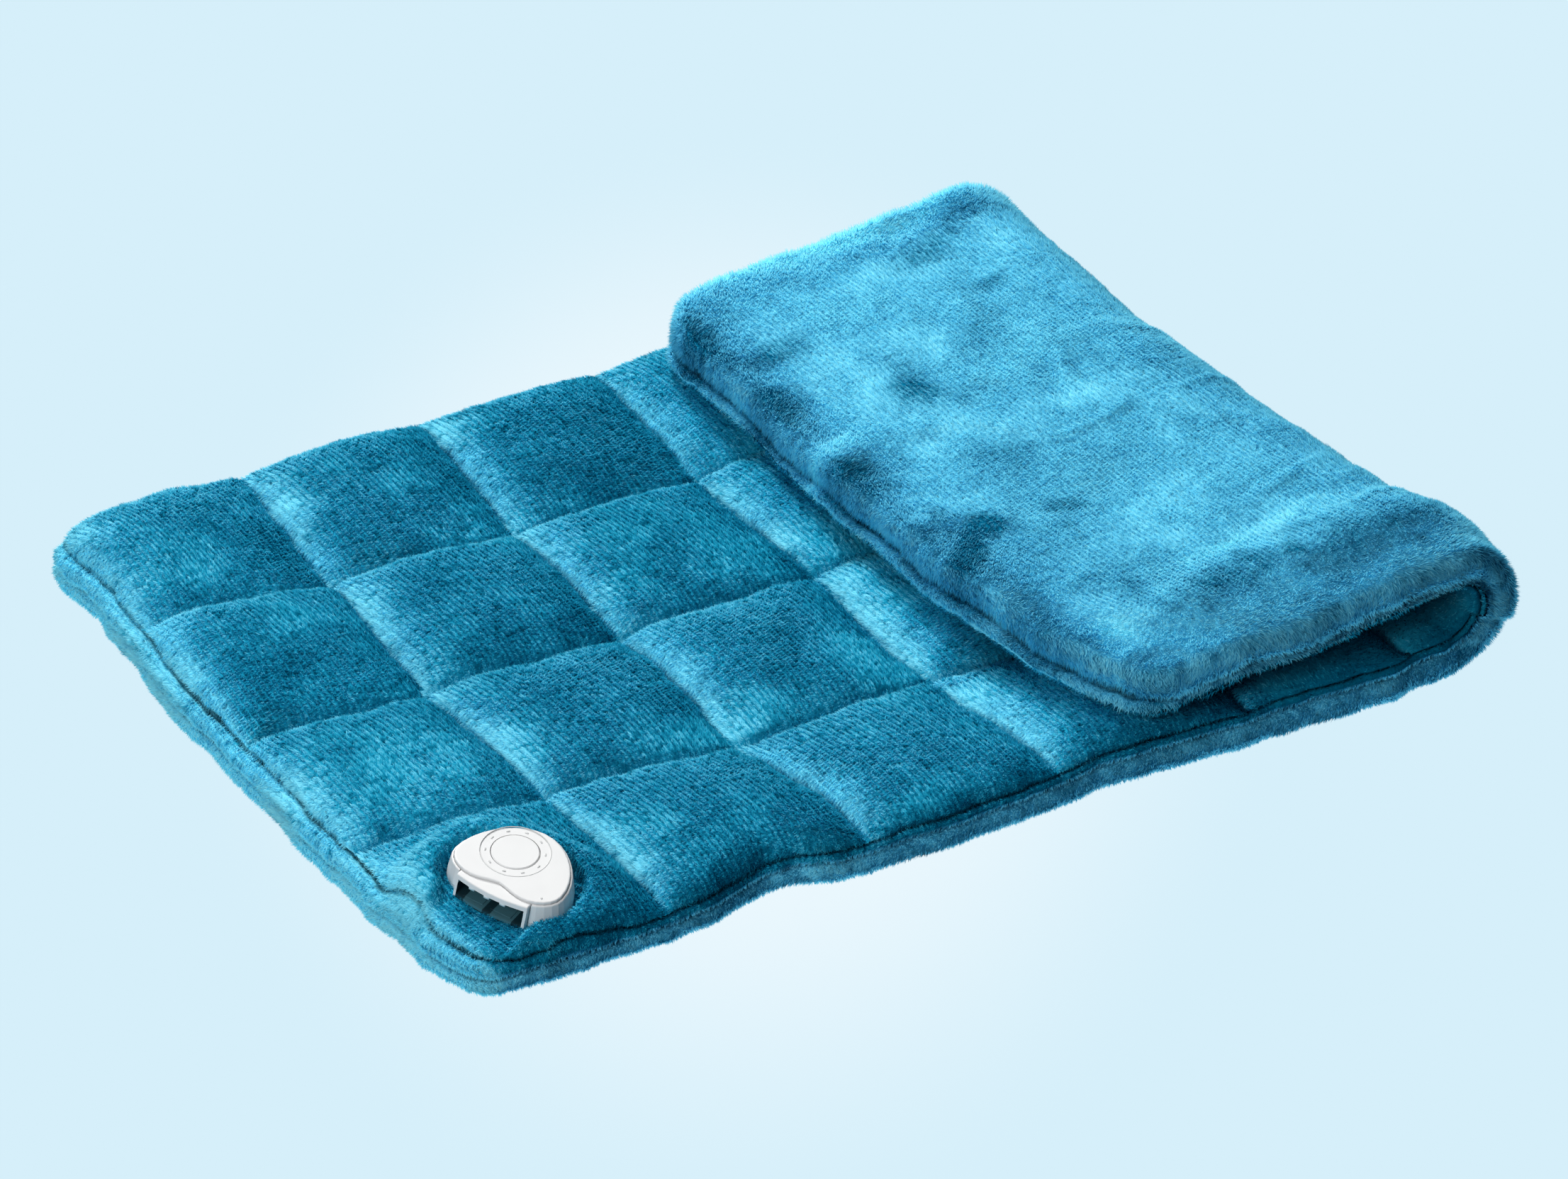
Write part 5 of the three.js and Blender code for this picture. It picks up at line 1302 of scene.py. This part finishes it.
class HEATPAD_OT_studio(bpy.types.Operator):
    """Set up the camera, the lights and the pale backdrop"""

    bl_idname = "heatpad.studio"
    bl_label = "Set Up Studio"

    def execute(self, context):
        self.camera(context.scene)
        for lamp in LAMPS:
            self.lamp(*lamp)
        world = context.scene.world or bpy.data.worlds.new("world")
        context.scene.world = world
        world.use_nodes = True
        background = world.node_tree.nodes["Background"]
        background.inputs["Color"].default_value = rgba(SKY_COLOUR)
        background.inputs["Strength"].default_value = SKY_STRENGTH
        context.scene.view_settings.view_transform = "Standard"
        self.floor()
        return {"FINISHED"}

    def camera(self, scene):
        """The photograph's camera: back from its target by azimuth and elevation, and rolled a little."""
        a, e, roll = (math.radians(v) for v in (CAMERA_AZIMUTH, CAMERA_ELEVATION, CAMERA_ROLL))
        back = Vector((math.sin(a) * math.cos(e), -math.cos(a) * math.cos(e), math.sin(e)))
        right = (-back).cross(Vector((0, 0, 1))).normalized()
        up = right.cross(-back)
        tilted = right * math.cos(roll) + up * math.sin(roll)
        upright = -right * math.sin(roll) + up * math.cos(roll)
        data = bpy.data.cameras.new("camera")
        data.sensor_width = SENSOR_WIDTH
        data.lens = CAMERA_FOCAL * SENSOR_WIDTH / PHOTO_WIDTH
        data.clip_end = 20.0
        camera = bpy.data.objects.new("camera", data)
        place = Matrix.Translation(Vector(CAMERA_TARGET) + back * CAMERA_DISTANCE)
        camera.matrix_world = place @ Matrix((tilted, upright, back)).transposed().to_4x4()
        bpy.context.collection.objects.link(camera)
        scene.camera = camera

    def lamp(self, name, place, size, power, tint):
        """A square area lamp at place, facing the middle of the table."""
        data = bpy.data.lights.new(name, "AREA")
        data.size, data.energy, data.color = size, power, tint
        lamp = bpy.data.objects.new(name, data)
        lamp.location = place
        lamp.rotation_euler = (-Vector(place)).to_track_quat("-Z", "Y").to_euler()
        bpy.context.collection.objects.link(lamp)

    def floor(self):
        """A floor that shows the camera the backdrop's colour, with a painted pool of light round the pad,
        and throws a dim light up at the pad.
        """
        half = FLOOR_HALF_WIDTH
        square = [(-half, -half, 0), (half, -half, 0), (half, half, 0), (-half, half, 0)]
        obj = new_mesh("floor", square, [[0, 1, 2, 3]])
        obj.location.z = -FLOOR_DROP
        look = looks()
        material = bpy.data.materials.new("floor")
        material.use_nodes = True
        g = Graph(material.node_tree)
        g.tree.nodes.clear()
        turned = g.add("ShaderNodeMapping", Rotation=(0, 0, -math.radians(CAMERA_AZIMUTH)))
        g.join(g.add("ShaderNodeTexCoord").outputs["Object"], turned.inputs["Vector"])
        scaled = g.add("ShaderNodeVectorMath", operation="MULTIPLY")
        g.join(turned.outputs[0], scaled.inputs[0])
        scaled.inputs[1].default_value = (1.0, math.sin(math.radians(CAMERA_ELEVATION)), 1.0)
        far = g.add("ShaderNodeVectorMath", operation="LENGTH")
        g.join(scaled.outputs[0], far.inputs[0])
        glow = g.spread(far.outputs["Value"], GLOW_INNER, GLOW_OUTER, 1.0, 0.0)
        shown = g.mix(glow, rgba(look.backdrop_edge), rgba(look.backdrop_painted_glow))
        path = g.add("ShaderNodeLightPath")
        lit = g.add("ShaderNodeEmission", Color=shown, Strength=1.0)
        diffuse = g.add("ShaderNodeBsdfDiffuse", Color=rgba(FLOOR_COLOUR))
        both = g.add("ShaderNodeMixShader")
        seen = g.math("MAXIMUM", path.outputs["Is Camera Ray"], path.outputs["Is Glossy Ray"])
        g.join(g.math("MAXIMUM", seen, path.outputs["Is Transmission Ray"]), both.inputs[0])
        g.join(diffuse.outputs[0], both.inputs[1])
        g.join(lit.outputs[0], both.inputs[2])
        output = g.add("ShaderNodeOutputMaterial")
        g.join(both.outputs[0], output.inputs[0])
        obj.data.materials.append(material)


class HEATPAD_PT_panel(bpy.types.Panel):
    """Sizes, colours and the steps that build the pad"""

    bl_label = "Heating Pad"
    bl_idname = "HEATPAD_PT_panel"
    bl_space_type = "VIEW_3D"
    bl_region_type = "UI"
    bl_category = "Heating Pad"

    def draw(self, context):
        for group in (sizes(), looks()):
            for name in group.bl_rna.properties.keys():
                if name not in ("rna_type", "name"):
                    self.layout.prop(group, name)
        for operator in OPERATORS:
            self.layout.operator(operator.bl_idname)


OPERATORS = (HEATPAD_OT_pad, HEATPAD_OT_finishes, HEATPAD_OT_marks, HEATPAD_OT_teeth, HEATPAD_OT_studio)
CLASSES = (PadSizes, Looks, *OPERATORS, HEATPAD_PT_panel)


def register():
    """Registers the classes and gives each scene its sizes and looks."""
    for item in CLASSES:
        bpy.utils.register_class(item)
    bpy.types.Scene.heating_pad_sizes = bpy.props.PointerProperty(type=PadSizes)
    bpy.types.Scene.heating_pad_looks = bpy.props.PointerProperty(type=Looks)


def unregister():
    """Takes back what register does."""
    del bpy.types.Scene.heating_pad_looks
    del bpy.types.Scene.heating_pad_sizes
    for item in reversed(CLASSES):
        bpy.utils.unregister_class(item)


def main():
    """Builds everything in order."""
    register()
    bpy.ops.heatpad.pad()
    bpy.ops.heatpad.finishes()
    bpy.ops.heatpad.marks()
    bpy.ops.heatpad.teeth()
    bpy.ops.heatpad.studio()


if __name__ == "__main__":
    main()
